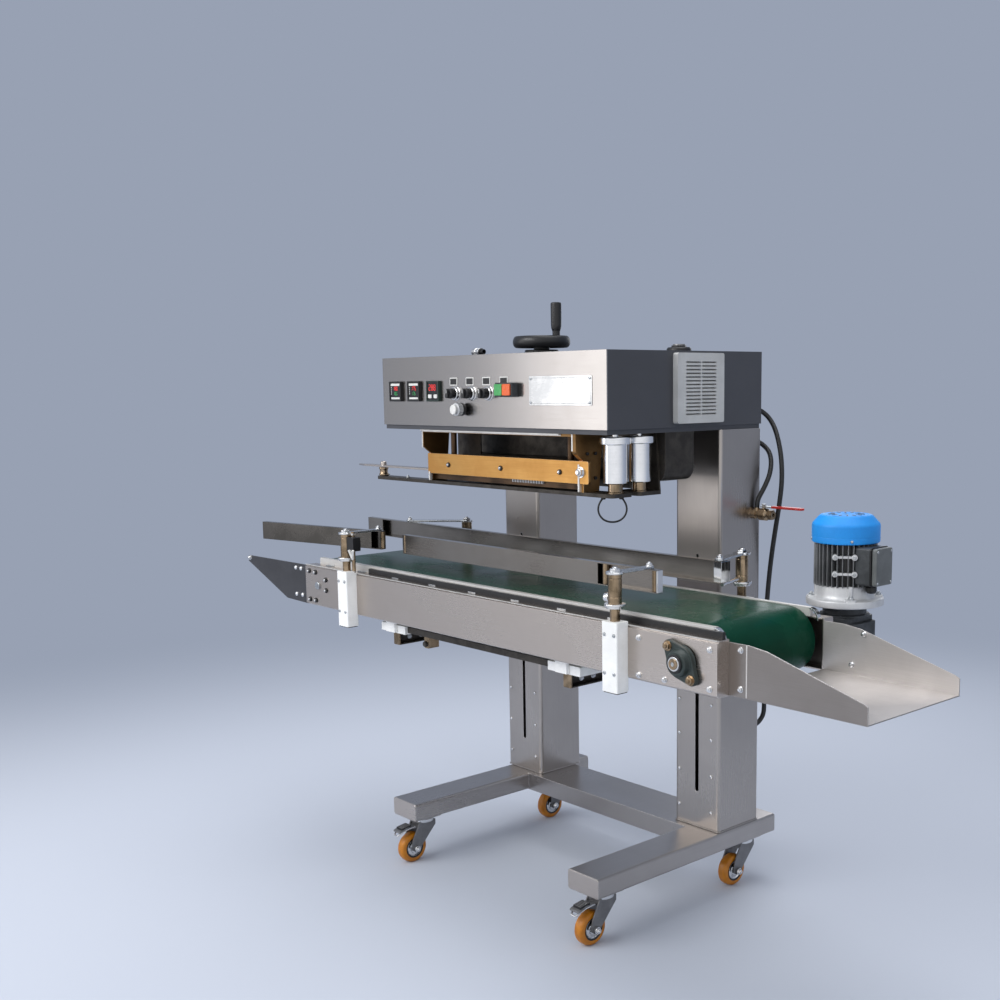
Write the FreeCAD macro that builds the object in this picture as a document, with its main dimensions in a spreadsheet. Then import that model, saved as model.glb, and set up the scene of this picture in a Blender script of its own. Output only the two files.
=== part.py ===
import FreeCAD, Part
import Sketcher
import math
import os
import re

# Continuous band sealer on casters: a sealing head on two columns, with a
# belt conveyor in front that slides up and down the columns' slots.
# Millimetres. +X is the way the belt carries bags, +Y points to the back and
# +Z points up. The origin lies on the floor under the middle of the machine.

Vector = FreeCAD.Vector
Rotation = FreeCAD.Rotation
Placement = FreeCAD.Placement

doc = FreeCAD.newDocument("ContinuousBandSealer")
sheet = doc.addObject("Spreadsheet::Sheet", "sizes")

# The driving sizes: alias, value or formula, what it is.
SIZES = [
    ("wing_len", "311", "infeed wing"),
    ("conv_len", "1404", "side channels of the conveyor"),
    ("chute_len", "293", "discharge chute"),
    ("overall_len", "=wing_len + conv_len + chute_len", "wing tip to chute end"),
    ("block_y", "32", "nylon block under a guide post"),
    ("ring_dia", "42", "ring of a guide post"),
    ("reach", "449", "conveyor's front to the columns' front"),
    ("foot_back", "198", "columns' front to the back of the feet"),
    ("overall_wid", "=ring_dia / 2 + block_y / 2 + reach + foot_back", "posts' rings to back of the feet"),
    ("half_len", "=overall_len / 2", ""),
    ("half_wid", "=overall_wid / 2", ""),
    ("sheet_t", "3", "sheet metal"),
    ("slide_gap", "0.3", "column to clamp plates"),
    ("pin_gap", "0.3", "radial play of a turning part on its pin"),
    # Casters
    ("wheel_dia", "75", ""),
    ("wheel_wid", "28", ""),
    ("hub_dia", "50", "silver disc inside the tread"),
    ("axle_dia", "10", ""),
    ("trail", "36", "swivel axis to axle"),
    ("race_gap", "1", "swivel race to its plate"),
    ("fork_gap", "3", "wheel side to fork leg"),
    ("fork_t", "3", ""),
    ("race_dia", "52", ""),
    ("king_dia", "12", "king bolt"),
    ("race_top", "=wheel_dia + 37", ""),
    ("plate_len", "76", "caster plate"),
    ("plate_wid", "68", ""),
    # Base and columns
    ("foot_wid", "95", "each foot across"),
    ("foot_hgt", "44", ""),
    ("foot_round", "6", ""),
    ("foot_z", "=race_top + 5", "underside of the feet"),
    ("foot_top", "=foot_z + foot_hgt", ""),
    ("left_x", "-366.5", "centre of the left foot"),
    ("right_x", "287.5", "centre of the right foot"),
    ("col_wid", "135", ""),
    ("col_deep", "141", ""),
    ("col_round", "8", ""),
    ("col_hgt", "925", ""),
    ("col_front", "=half_wid - foot_back", ""),
    ("col_back", "=col_front + col_deep", ""),
    ("col_left", "=left_x + 10", "centre of the left column"),
    ("col_right", "=right_x - 26", "centre of the right column"),
    ("slot_wid", "11", "slot in a column's front"),
    ("slot_low", "=foot_top + 85", ""),
    ("slot_len", "459", ""),
    ("hole_dia", "8", "spare hole above the slot"),
    ("hole_up", "95", "hole above the slot's end"),
    ("foot_front", "=col_front - 388", ""),
    ("swivel_front", "=foot_front + 54", ""),
    ("swivel_back", "=half_wid - 67", ""),
    # Head
    ("lip_low", "=foot_top + col_hgt", "underside of the base plate"),
    ("lip_t", "10", ""),
    ("lip_in", "4", "base plate set back under the sides"),
    ("head_low", "=lip_low + lip_t", ""),
    ("head_hgt", "161", ""),
    ("head_top", "=head_low + head_hgt", ""),
    ("head_left", "=col_left - 105.5", ""),
    ("head_right", "=col_right + 67.5", ""),
    ("head_front", "=col_front - 349", ""),
    ("head_back", "=col_back", ""),
    ("head_round", "2.5", "outside bend of the sheet"),
    ("grille_side", "148.5", ""),
    ("grille_y", "=head_front + 269", ""),
    ("grille_z", "=head_low + 82", ""),
    ("grille_t", "14", ""),
    ("grille_round", "5", ""),
    ("louvre_n", "15", ""),
    ("louvre_pitch", "=grille_side / 19", ""),
    ("louvre_gap", "=louvre_pitch * 0.46", ""),
    ("louvre_len", "=grille_side * 0.31", ""),
    ("louvre_rib", "2", "half the rib between the two rows"),
    ("ctrl_side", "48", "controller bezel"),
    ("ctrl_round", "2", ""),
    ("ctrl_z", "=head_low + 80.5", ""),
    ("ctrl_1", "=head_left + 60", ""),
    ("ctrl_2", "=ctrl_1 + 75.5", ""),
    ("ctrl_3", "=ctrl_2 + 77.5", ""),
    ("ctrl_out", "8", "bezel in front of the panel"),
    ("ctrl_body", "44.5", ""),
    ("ctrl_deep", "60", ""),
    ("cutout", "=ctrl_body + 0.7", ""),
    ("sel_1", "=ctrl_3 + 81", "selector switches"),
    ("sel_2", "=sel_1 + 60", ""),
    ("sel_3", "=sel_2 + 60", ""),
    ("sel_z", "=head_low + 75", ""),
    ("sel_dia", "23", ""),
    ("sel_stem", "12", "stem of a switch or knob"),
    ("collar_dia", "29", ""),
    ("collar_t", "6", ""),
    ("button_x", "=sel_3 + 71.5", ""),
    ("button_z", "=sel_z + 7.5", ""),
    ("button_wid", "59", "start and stop button"),
    ("button_hgt", "31", ""),
    ("button_out", "22", ""),
    ("key_t", "5", "keys in front of the button's body"),
    ("reg_x", "=sel_1 + 32", ""),
    ("reg_z", "=head_low + 39", ""),
    ("reg_dia", "30", ""),
    ("reg_out", "35", ""),
    ("hw_x", "=head_left + 458", "handwheel"),
    ("hw_y", "=head_front + 120", ""),
    ("hw_dia", "130", ""),
    ("hw_rim", "13", ""),
    ("hw_gap", "14", "rim above the housing"),
    ("hw_low", "=head_top + hw_gap", ""),
    ("hw_t", "26", ""),
    ("hw_stem", "14", ""),
    ("hw_boss", "36", ""),
    ("grip_dia", "24", ""),
    ("grip_hgt", "80", "grip above the rim"),
    ("coup_x", "=hw_x - 228", "air coupling, lying along the roof"),
    ("coup_dia", "18", ""),
    ("coup_len", "40", ""),
    ("tube_bore", "8", "bore for an air tube"),
    ("gland_x", "=head_right - 57", ""),
    ("gland_y", "=head_front + 275", ""),
    # Sealing unit
    ("seal_left", "=head_left + 146", ""),
    ("seal_right", "=head_right - 102", ""),
    ("seal_front", "=head_front + 30", "front edge of the end flanges"),
    ("seal_drop", "123", "head to lower plate"),
    ("plate_t", "8", ""),
    ("plate_top", "=lip_low - seal_drop", ""),
    ("plate_low", "=plate_top - plate_t", ""),
    ("press_dia", "50", ""),
    ("press_flange", "66", ""),
    ("nip", "5", "gap between the press rollers' flanges"),
    ("press_low", "=plate_top + 20", ""),
    ("press_top", "=lip_low - 6", ""),
    ("press_x", "=head_right - 41", ""),
    ("press_y1", "=seal_front + press_flange / 2", ""),
    ("press_y2", "=press_y1 + press_flange + nip", ""),
    ("path_y", "=(press_y1 + press_y2) / 2", "plane that the bags' mouths run in"),
    ("path_half", "12", "half the gap between front and rear parts"),
    ("spindle_dia", "12", ""),
    ("bush_dia", "29", ""),
    ("inroll_x", "=seal_left - 222", ""),
    ("inroll_y", "=seal_front + 15", ""),
    ("inroll_dia", "24", ""),
    ("inroll_pin", "8", ""),
    ("plate_left", "=inroll_x - 14", ""),
    ("plate_right", "=press_x + 24", ""),
    ("web_y", "=press_y2 + press_flange / 2 + 4", "rear bracket"),
    ("web_t", "4", ""),
    # Conveyor
    ("conv_wid", "342", ""),
    ("side_left", "=wing_len - half_len", ""),
    ("side_right", "=side_left + conv_len", ""),
    ("side_front", "=col_front - reach", ""),
    ("side_back", "=side_front + conv_wid", ""),
    ("side_deep", "30", "depth of a side channel"),
    ("side_round", "4", ""),
    ("roll_z", "=lip_low - 401", ""),
    ("side_low", "=roll_z - 55", ""),
    ("side_top", "=roll_z + 49", ""),
    ("belt_t", "2.5", ""),
    ("belt_front", "=side_front + side_deep + 7", ""),
    ("belt_back", "=side_back - side_deep - 5", ""),
    ("roll_r", "62.5", ""),
    ("drive_x", "=side_right - 81", ""),
    ("tail_x", "=side_left + 61", ""),
    ("shaft_dia", "20", ""),
    ("belt_r", "=roll_r + belt_t", ""),
    ("belt_top", "=roll_z + belt_r", ""),
    ("floor_z", "=side_low + 1", "underside of the chute"),
    ("chute_front", "=side_front + side_deep", ""),
    ("chute_back", "=side_back - side_deep + 2", ""),
    ("chute_hgt", "=side_top - floor_z - 5", "chute wall at the belt"),
    ("chute_t", "2", ""),
    ("tie_deep", "12", "bar between the two pads"),
    ("tie_hgt", "15", ""),
    ("lug_x", "=col_left + 115", "lug under the tie bar"),
    ("lug_wid", "18", ""),
    ("block_x", "42", "nylon block"),
    ("block_round", "3", ""),
    ("post_left", "=side_left + 220", ""),
    ("post_right", "=side_right - 244", ""),
    ("post_front", "=side_front - block_y / 2", ""),
    ("post_rear", "=side_back + block_y / 2", ""),
    ("block_low", "=side_low - 26", ""),
    ("block_top", "=side_top + 7", ""),
    ("post_dia", "20", ""),
    ("sleeve_dia", "27", ""),
    ("ring_up", "29", "ring above the block"),
    ("rail_hgt", "46", ""),
    ("rail_low", "=belt_top + 36", ""),
    ("rail_top", "=rail_low + rail_hgt", ""),
    ("rail_deep", "16", ""),
    ("rail_t", "2", ""),
    ("rail_a_len", "441", "infeed rail"),
    ("rail_b_y", "=belt_front + 33", "front rail"),
    ("rail_c_y", "=belt_back - 62", "rear rail"),
    ("rail_b_left", "=post_left + 118", ""),
    ("rail_c_left", "=post_left - 297", ""),
    ("rail_c_right", "=post_right + 38", ""),
    ("link_wid", "20", "flat arms of the posts"),
    ("link_t", "5", ""),
    ("rod_dia", "8", ""),
    ("arm_wid", "22", "support arms"),
    ("arm_hgt", "32", ""),
    ("arm_top", "=side_low - 34", ""),
    ("pad_wid", "100", "block on top of an arm"),
    ("pad_hgt", "20", ""),
    ("pad_front", "=side_front + 45", ""),
    ("strap_wid", "36", "strap from a pad up to the channel's flange"),
    ("strap_t", "8", ""),
    ("arm_low", "=arm_top - arm_hgt", ""),
    ("clamp_wid", "100", ""),
    ("clamp_t", "8", ""),
    # Drive
    ("motor_x", "=drive_x + 35", ""),
    ("motor_y", "=side_back + 103", ""),
    ("gear_top", "=roll_z + 33", ""),
    ("gear_round", "10", ""),
    ("flange_dia", "156", ""),
    ("flange_t", "17", ""),
    ("bell_dia", "112", ""),
    ("cover_dia", "136", ""),
    ("fin_dia", "126", ""),
    ("fin_n", "24", ""),
    ("fin_t", "3", ""),
    ("fin_deep", "8", ""),
    # Air valve
    ("valve_x", "=col_right + col_wid / 2 + 28", ""),
    ("valve_y", "=col_back - 23", ""),
    ("valve_z", "=lip_low - 194", ""),
    ("valve_dia", "28", ""),
    ("pipe_dia", "18", ""),
    ("lever_len", "110", ""),
    ("port_dia", "13", "port for the hose"),
    ("port_x", "=valve_x - 20", ""),
]
for row, (alias, value, note) in enumerate(SIZES, start=1):
    sheet.set("A%d" % row, alias)
    sheet.set("B%d" % row, value)
    sheet.set("C%d" % row, note)
    sheet.setAlias("B%d" % row, alias)
doc.recompute()

NAMES = {alias for alias, value, note in SIZES}
TURN = {"x": Rotation(Vector(0, 1, 0), 90), "y": Rotation(Vector(1, 0, 0), -90), "z": Rotation()}
nodes = []


def formula(text):
    """The same formula with every sheet alias qualified by the sheet."""
    return re.sub(r"[a-z_]\w*", lambda word: "sizes." + word[0] if word[0] in NAMES else word[0], str(text))


def bind(obj, **sizes):
    for name, text in sizes.items():
        obj.setExpression(name, formula(text))


def place(obj, x, y, z, turn=None):
    obj.Placement = Placement(Vector(), turn or Rotation())
    for axis, text in (("x", x), ("y", y), ("z", z)):
        obj.setExpression("Placement.Base." + axis, formula(text))
    return obj


def box(name, x, y, z):
    """A box between two formulas on each axis."""
    obj = doc.addObject("Part::Box", name)
    bind(obj, Length="(%s) - (%s)" % (x[1], x[0]), Width="(%s) - (%s)" % (y[1], y[0]),
         Height="(%s) - (%s)" % (z[1], z[0]))
    return place(obj, x[0], y[0], z[0])


def cylinder(name, axis, dia, span, centre):
    """A cylinder along one axis, between two formulas, about the other two coordinates."""
    obj = doc.addObject("Part::Cylinder", name)
    bind(obj, Radius="(%s) / 2" % dia, Height="(%s) - (%s)" % (span[1], span[0]))
    spots = {"x": (span[0], centre[0], centre[1]), "y": (centre[0], span[0], centre[1]),
             "z": (centre[0], centre[1], span[0])}
    return place(obj, *spots[axis], turn=TURN[axis])


def bar(name, start, end, wid, z):
    """A flat bar in plan from one point to another, turned to lie along them."""
    dx = "((%s) - (%s))" % (end[0], start[0])
    dy = "((%s) - (%s))" % (end[1], start[1])
    angle = "atan2(%s; %s)" % (dy, dx)
    obj = doc.addObject("Part::Box", name)
    bind(obj, Length="sqrt(%s ^ 2 + %s ^ 2)" % (dx, dy), Width=wid, Height="(%s) - (%s)" % (z[1], z[0]))
    place(obj, "(%s) + (%s) / 2 * sin(%s)" % (start[0], wid, angle),
          "(%s) - (%s) / 2 * cos(%s)" % (start[1], wid, angle), z[0], turn=Rotation(Vector(0, 0, 1), 1))
    obj.setExpression("Placement.Rotation.Angle", formula(angle))
    return obj


def fuse(name, *shapes):
    obj = doc.addObject("Part::MultiFuse", name)
    obj.Shapes = list(shapes)
    obj.Refine = True
    return obj


def cut(name, base, *tools):
    obj = doc.addObject("Part::Cut", name)
    obj.Base = base
    obj.Tool = tools[0] if len(tools) == 1 else fuse(name + "_tools", *tools)
    obj.Refine = True
    return obj


def origin(body, role):
    return next(item for item in body.Origin.OriginFeatures if item.Role == role)


def sketch(body, name, plane, points):
    """A closed polygon on one of the body's planes, every corner bound to its formulas."""
    drawing = body.newObject("Sketcher::SketchObject", name)
    drawing.AttachmentSupport = (origin(body, plane + "_Plane"), [""])
    drawing.MapMode = "FlatFace"
    count = len(points)
    ring = [Vector(100 * math.cos(2 * math.pi * i / count), 100 * math.sin(2 * math.pi * i / count), 0)
            for i in range(count)]
    for i in range(count):
        drawing.addGeometry(Part.LineSegment(ring[i], ring[(i + 1) % count]), False)
    for i in range(count):
        drawing.addConstraint(Sketcher.Constraint("Coincident", i, 2, (i + 1) % count, 1))
    for i, (across, up) in enumerate(points):
        for kind, text, value, line in (("DistanceX", across, ring[i].x, -2),
                                        ("DistanceY", up, ring[i].y, -1)):
            if str(text) == "0":
                drawing.addConstraint(Sketcher.Constraint("PointOnObject", i, 1, line))
                continue
            index = drawing.addConstraint(Sketcher.Constraint(kind, -1, 1, i, 1, value))
            drawing.setExpression("Constraints[%d]" % index, formula(text))
    return drawing


def pad_body(name, plane, points, depth, rounds=()):
    """A body padded from an outline, with the named corners of the outline rounded."""
    body = doc.addObject("PartDesign::Body", name)
    drawing = sketch(body, name + "_outline", plane, points)
    pad = body.newObject("PartDesign::Pad", name + "_pad")
    pad.Profile = drawing
    pad.setExpression("Length", formula(depth))
    pad.Reversed = plane == "XZ"
    if not rounds:
        return body
    doc.recompute()
    for radius, corners in rounds:
        last = body.Tip
        spots = [drawing.Placement.multVec(drawing.Geometry[i].StartPoint) for i in corners]
        names = ["Edge%d" % i for i, edge in enumerate(last.Shape.Edges, start=1)
                 if any((vertex.Point - spot).Length < 0.001 for spot in spots for vertex in edge.Vertexes)
                 and edge.tangentAt(edge.FirstParameter).cross(drawing.Placement.Rotation.multVec(
                     Vector(0, 0, 1))).Length < 0.001]
        fillet = body.newObject("PartDesign::Fillet", "%s_round_%s" % (name, corners[0]))
        fillet.Base = (last, names)
        fillet.setExpression("Radius", formula(radius))
        doc.recompute()
    return body


def outline(name, plane, points, depth, spot, rounds=()):
    return place(pad_body(name, plane, points, depth, rounds), *spot)


def lathe(name, axis, points, spot):
    """A body turned from its half section: pairs of radius and height along the axis."""
    body = doc.addObject("PartDesign::Body", name)
    drawing = sketch(body, name + "_section", "XZ", points)
    turned = body.newObject("PartDesign::Revolution", name + "_turned")
    turned.Profile = drawing
    turned.ReferenceAxis = (drawing, ["V_Axis"])
    turned.Angle = 360
    return place(body, *spot, turn=TURN[axis])


def node(obj, label):
    obj.Label = label
    nodes.append(obj)
    return obj


def tube(points, dia):
    """A round tube along straight runs joined by tangent arcs."""
    spots = [Vector(*point) for point in points]
    edges = []
    radii = []
    start = spots[0]
    for i in range(1, len(spots) - 1):
        before = (spots[i] - spots[i - 1]).normalize()
        after = (spots[i + 1] - spots[i]).normalize()
        turn = before.getAngle(after)
        reach = 0.45 * min((spots[i] - spots[i - 1]).Length, (spots[i + 1] - spots[i]).Length)
        enter = spots[i] - before * reach
        leave = spots[i] + after * reach
        radius = reach / math.tan(turn / 2)
        bisector = (after - before).normalize()
        centre = spots[i] + bisector * (radius / math.cos(turn / 2))
        middle = centre - bisector * radius
        edges.append(Part.LineSegment(start, enter).toShape())
        edges.append(Part.Arc(enter, middle, leave).toShape())
        radii.append(radius)
        start = leave
    edges.append(Part.LineSegment(start, spots[-1]).toShape())
    path = Part.Wire(edges)
    ring = Part.Wire(Part.makeCircle(dia / 2, spots[0], (spots[1] - spots[0]).normalize()))
    shape = path.makePipeShell([ring], True, True)
    print("tube volume %.0f against %.0f, length %.0f, radii %s" % (
        shape.Volume, math.pi * dia ** 2 / 4 * path.Length, path.Length,
        " ".join("%.0f" % radius for radius in radii)))
    return shape


def cord(label, points, dia):
    obj = doc.addObject("Part::Feature", label)
    obj.Shape = tube(points, dia)
    return node(obj, label)


# Base: two rounded feet joined by a cross beam, with a plate and king bolt per caster.
feet = []
for side in ("left", "right"):
    middle = side + "_x"
    feet.append(outline("foot_" + side, "XZ", [("-foot_wid / 2", "0"), ("foot_wid / 2", "0"),
                                               ("foot_wid / 2", "foot_hgt"), ("-foot_wid / 2", "foot_hgt")],
                        "half_wid - foot_front", (middle, "foot_front", "foot_z"),
                        [("foot_round", [0, 1, 2, 3])]))
    for end in ("front", "back"):
        spot = "swivel_" + end
        tag = side + "_" + end
        feet.append(outline("plate_" + tag, "XY", [("-plate_len / 2", "-plate_wid / 2"),
                                                   ("plate_len / 2", "-plate_wid / 2"),
                                                   ("plate_len / 2", "plate_wid / 2"),
                                                   ("-plate_len / 2", "plate_wid / 2")],
                            "foot_z - race_top - race_gap", (middle, spot, "race_top + race_gap"),
                            [("8", [0, 1, 2, 3])]))
        feet.append(cylinder("king_" + tag, "z", "king_dia", ("race_top - 12", "foot_z"), (middle, spot)))
beam = box("beam", ("left_x", "right_x"), ("col_front - 20", "col_back - 20"), ("foot_z", "foot_top"))
node(fuse("base", beam, *feet), "base_frame")

# Columns: rounded square tubes with a long slot for the conveyor's clamp in the front wall.
for side in ("left", "right"):
    middle = "col_" + side
    walls = []
    for tag, inset, radius in (("outer", "0", "col_round"), ("inner", "sheet_t", "col_round - sheet_t")):
        corners = [("-col_wid / 2 + " + inset, inset), ("col_wid / 2 - " + inset, inset),
                   ("col_wid / 2 - " + inset, "col_deep - " + inset), ("-col_wid / 2 + " + inset,
                                                                       "col_deep - " + inset)]
        walls.append(outline("%s_%s" % (middle, tag), "XY", corners, "col_hgt",
                             (middle, "col_front", "foot_top"), [(radius, [0, 1, 2, 3])]))
    slot = box(middle + "_slot", (middle + " - slot_wid / 2", middle + " + slot_wid / 2"),
               ("col_front - 1", "col_front + sheet_t + 1"), ("slot_low + slot_wid / 2",
                                                              "slot_low + slot_len - slot_wid / 2"))
    tips = [cylinder("%s_tip_%s" % (middle, tag), "y", "slot_wid",
                     ("col_front - 1", "col_front + sheet_t + 1"), (middle, z)) for tag,
            z in (("low", "slot_low + slot_wid / 2"), ("high", "slot_low + slot_len - slot_wid / 2"))]
    hole = cylinder(middle + "_hole", "y", "hole_dia", ("col_front - 1", "col_front + sheet_t + 1"),
                    (middle, "slot_low + slot_len + hole_up"))
    node(cut(middle + "_cut", walls[0], walls[1], slot, hole, *tips), "column_" + side)

# Casters: a swivelling fork with a raceway and an axle, and a wheel turned from its
# section on it. The front ones have a brake pedal.
WHEEL_SECTION = [("axle_dia / 2 + pin_gap", "0"), ("axle_dia / 2 + 5", "0"), ("axle_dia / 2 + 7", "3"),
                 ("hub_dia / 2 - 2", "3"), ("hub_dia / 2", "1"), ("wheel_dia / 2 - 7", "1"),
                 ("wheel_dia / 2 - 2", "3.5"), ("wheel_dia / 2", "9")]
WHEEL_SECTION += [(r, "wheel_wid - (%s)" % h) for r, h in reversed(WHEEL_SECTION)]
for side in ("left", "right"):
    for end in ("front", "back"):
        x = side + "_x"
        y = "swivel_" + end
        axle_y = y + " - trail"
        tag = side + "_" + end
        half = "(wheel_wid / 2 + fork_gap)"
        race = lathe("race_" + tag, "z", [("0", "-12"), ("race_dia / 2 - 6", "-12"), ("race_dia / 2", "-8"),
                                          ("race_dia / 2", "-4"), ("race_dia / 2 - 3", "0"), ("0", "0")],
                     (x, y, "race_top"))
        bridge = box("bridge_" + tag, (x + " - " + half + " - fork_t", x + " + " + half + " + fork_t"),
                     (y + " - 24", y + " + 24"), ("race_top - 24", "race_top - 11"))
        legs = []
        for sign in ("-", "+"):
            low = x + " - " + half + " - fork_t" if sign == "-" else x + " + " + half
            corners = [("-24", "race_top - wheel_dia / 2 - 11"), ("24", "race_top - wheel_dia / 2 - 11"),
                       ("24", "race_top - wheel_dia / 2 - 24"), ("14 - trail", "0"), ("-trail", "-13"),
                       ("-trail - 14", "0"), ("-trail - 10", "22")]
            legs.append(outline("leg_%s_%s" % (tag, "a" if sign == "-" else "b"), "YZ", corners, "fork_t",
                                (low, y, "wheel_dia / 2"), [("12", [4]), ("5", [3, 5])]))
        axle = lathe("axle_" + tag, "x", [("0", "-4"), ("8", "-4"), ("8", "0"), ("axle_dia / 2", "0"),
                                          ("axle_dia / 2", "2 * %s + 2 * fork_t" % half),
                                          ("8", "2 * %s + 2 * fork_t" % half),
                                          ("8", "2 * %s + 2 * fork_t + 4" % half),
                                          ("0", "2 * %s + 2 * fork_t + 4" % half)],
                     (x + " - " + half + " - fork_t", axle_y, "wheel_dia / 2"))
        parts = [race, bridge, axle] + legs
        if end == "front":
            parts.append(outline("pedal_" + tag, "YZ", [("-20", "-12"), ("-24", "-20"),
                                                        ("-trail - 22", "-16"), ("-trail - 44", "-23"),
                                                        ("-trail - 45", "-27"), ("-trail - 22", "-21"),
                                                        ("-24", "-25"), ("-18", "-25")], "wheel_wid",
                                 (x + " - wheel_wid / 2", y, "race_top")))
        solid = fuse("fork_solid_" + tag, *parts)
        bore = cylinder("fork_bore_" + tag, "z", "king_dia + 2 * pin_gap", ("race_top - 13", "race_top + 1"),
                        (x, y))
        node(cut("fork_" + tag, solid, bore), "caster_fork_" + tag)
        node(lathe("wheel_" + tag, "x", WHEEL_SECTION, (x + " - wheel_wid / 2", axle_y, "wheel_dia / 2")),
             "caster_wheel_" + tag)

# Head: a sheet-metal housing on a base plate, closed by the front panel.
shell = outline("shell_outer", "XY", [("0", "0"), ("head_right - head_left", "0"),
                                      ("head_right - head_left", "head_back - head_front - sheet_t"),
                                      ("0", "head_back - head_front - sheet_t")], "head_hgt",
                ("head_left", "head_front + sheet_t", "head_low"), [("head_round", [2, 3])])
hollow = box("shell_inner", ("head_left + sheet_t", "head_right - sheet_t"),
             ("head_front", "head_back - sheet_t"), ("head_low + sheet_t", "head_top - sheet_t"))
lip = box("head_lip", ("head_left + lip_in", "head_right - lip_in"), ("head_front + lip_in",
                                                                      "head_back - lip_in"),
          ("lip_low", "head_low"))
stem_hole = cylinder("stem_hole", "z", "hw_stem + 2 * pin_gap", ("head_top - 10", "head_top + 1"),
                     ("hw_x", "hw_y"))
node(cut("housing_cut", fuse("housing", cut("shell", shell, hollow), lip), stem_hole), "head_housing")

panel = box("panel", ("head_left", "head_right"), ("head_front", "head_front + sheet_t"),
            ("head_low", "head_top"))
cutouts = []
for i in ("1", "2", "3"):
    cutouts.append(box("cutout_" + i, ("ctrl_%s - cutout / 2" % i, "ctrl_%s + cutout / 2" % i),
                       ("head_front - 1", "head_front + sheet_t + 1"), ("ctrl_z - cutout / 2",
                                                                        "ctrl_z + cutout / 2")))
    cutouts.append(cylinder("selhole_" + i, "y", "sel_stem + 2 * pin_gap",
                            ("head_front - 20", "head_front + 20"), ("sel_" + i, "sel_z")))
cutouts.append(cylinder("reghole", "y", "sel_stem + 2 * pin_gap", ("head_front - 20", "head_front + 20"),
                        ("reg_x", "reg_z")))
collars = [lathe("collar_" + i, "y", [("0", "0"), ("collar_dia / 2 - 2", "0"), ("collar_dia / 2", "2"),
                                      ("collar_dia / 2", "collar_t + 1"), ("0", "collar_t + 1")],
                 ("sel_" + i, "head_front - collar_t", "sel_z")) for i in ("1", "2", "3")]
node(cut("panel_cut", fuse("panel_solid", panel, *collars), *cutouts), "head_front_panel")

# Filter grille: a moulded square with two rows of sloping louvres, made as one pair and repeated.
grille = pad_body("grille", "YZ", [("-grille_side / 2", "-grille_side / 2"),
                                   ("grille_side / 2", "-grille_side / 2"),
                                   ("grille_side / 2", "grille_side / 2"),
                                   ("-grille_side / 2", "grille_side / 2")], "grille_t",
                  [("grille_round", [0, 1, 2, 3])])
first = "-louvre_pitch * (louvre_n - 1) / 2"
pockets = []
for tag, start in (("a", "louvre_rib"), ("b", "-louvre_rib - louvre_len")):
    section = sketch(grille, "louvre_section_" + tag, "XZ", [
        ("4", first + " - louvre_gap / 2 + 3"), ("grille_t + 1", first + " - louvre_gap / 2 - 1"),
        ("grille_t + 1", first + " + louvre_gap / 2 - 1"), ("4", first + " + louvre_gap / 2 + 3")])
    section.setExpression("AttachmentOffset.Base.z", formula("-(%s)" % start))
    pocket = grille.newObject("PartDesign::Pocket", "louvre_" + tag)
    pocket.Profile = section
    pocket.setExpression("Length", formula("louvre_len"))
    pockets.append(pocket)
doc.recompute()
pattern = grille.newObject("PartDesign::LinearPattern", "louvres")
pattern.Originals = pockets
pattern.Direction = (origin(grille, "Z_Axis"), [""])
bind(pattern, Length="louvre_pitch * (louvre_n - 1)", Occurrences="louvre_n")
grille.Tip = pattern
node(place(grille, "head_right", "grille_y", "grille_z"), "filter_grille")

for i, label in (("1", "controller_left"), ("2", "controller_middle"), ("3", "controller_right")):
    bezel = outline(label + "_bezel", "XZ", [("-ctrl_side / 2", "-ctrl_side / 2"),
                                             ("ctrl_side / 2", "-ctrl_side / 2"),
                                             ("ctrl_side / 2", "ctrl_side / 2"),
                                             ("-ctrl_side / 2", "ctrl_side / 2")], "ctrl_out",
                    ("ctrl_" + i, "head_front - ctrl_out", "ctrl_z"), [("ctrl_round", [0, 1, 2, 3])])
    body = box(label + "_body", ("ctrl_%s - ctrl_body / 2" % i, "ctrl_%s + ctrl_body / 2" % i),
               ("head_front - 1", "head_front + ctrl_deep"), ("ctrl_z - ctrl_body / 2",
                                                              "ctrl_z + ctrl_body / 2"))
    face = box(label + "_face", ("ctrl_%s - ctrl_side / 2 + 4" % i, "ctrl_%s + ctrl_side / 2 - 4" % i),
               ("head_front - ctrl_out - 1", "head_front - ctrl_out + 1.5"),
               ("ctrl_z - ctrl_side / 2 + 4", "ctrl_z + ctrl_side / 2 - 4"))
    node(cut(label + "_cut", fuse(label + "_solid", bezel, body), face), label)

for i, label in (("1", "selector_left"), ("2", "selector_middle"), ("3", "selector_right")):
    disc = lathe(label + "_disc", "y", [("0", "0"), ("sel_dia / 2 - 2", "0"), ("sel_dia / 2", "2"),
                                        ("sel_dia / 2", "9"), ("sel_stem / 2", "9"),
                                        ("sel_stem / 2", "collar_t + 22"), ("0", "collar_t + 22")],
                 ("sel_" + i, "head_front - collar_t - 10", "sel_z"))
    wing = outline(label + "_wing", "XY", [("-4", "0"), ("4", "0"), ("5", "13"), ("-5", "13")], "sel_dia - 1",
                   ("sel_" + i, "head_front - collar_t - 22", "sel_z - sel_dia / 2 + 0.5"), [("2.5", [0, 1])])
    node(fuse(label + "_solid", disc, wing), label)

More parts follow.
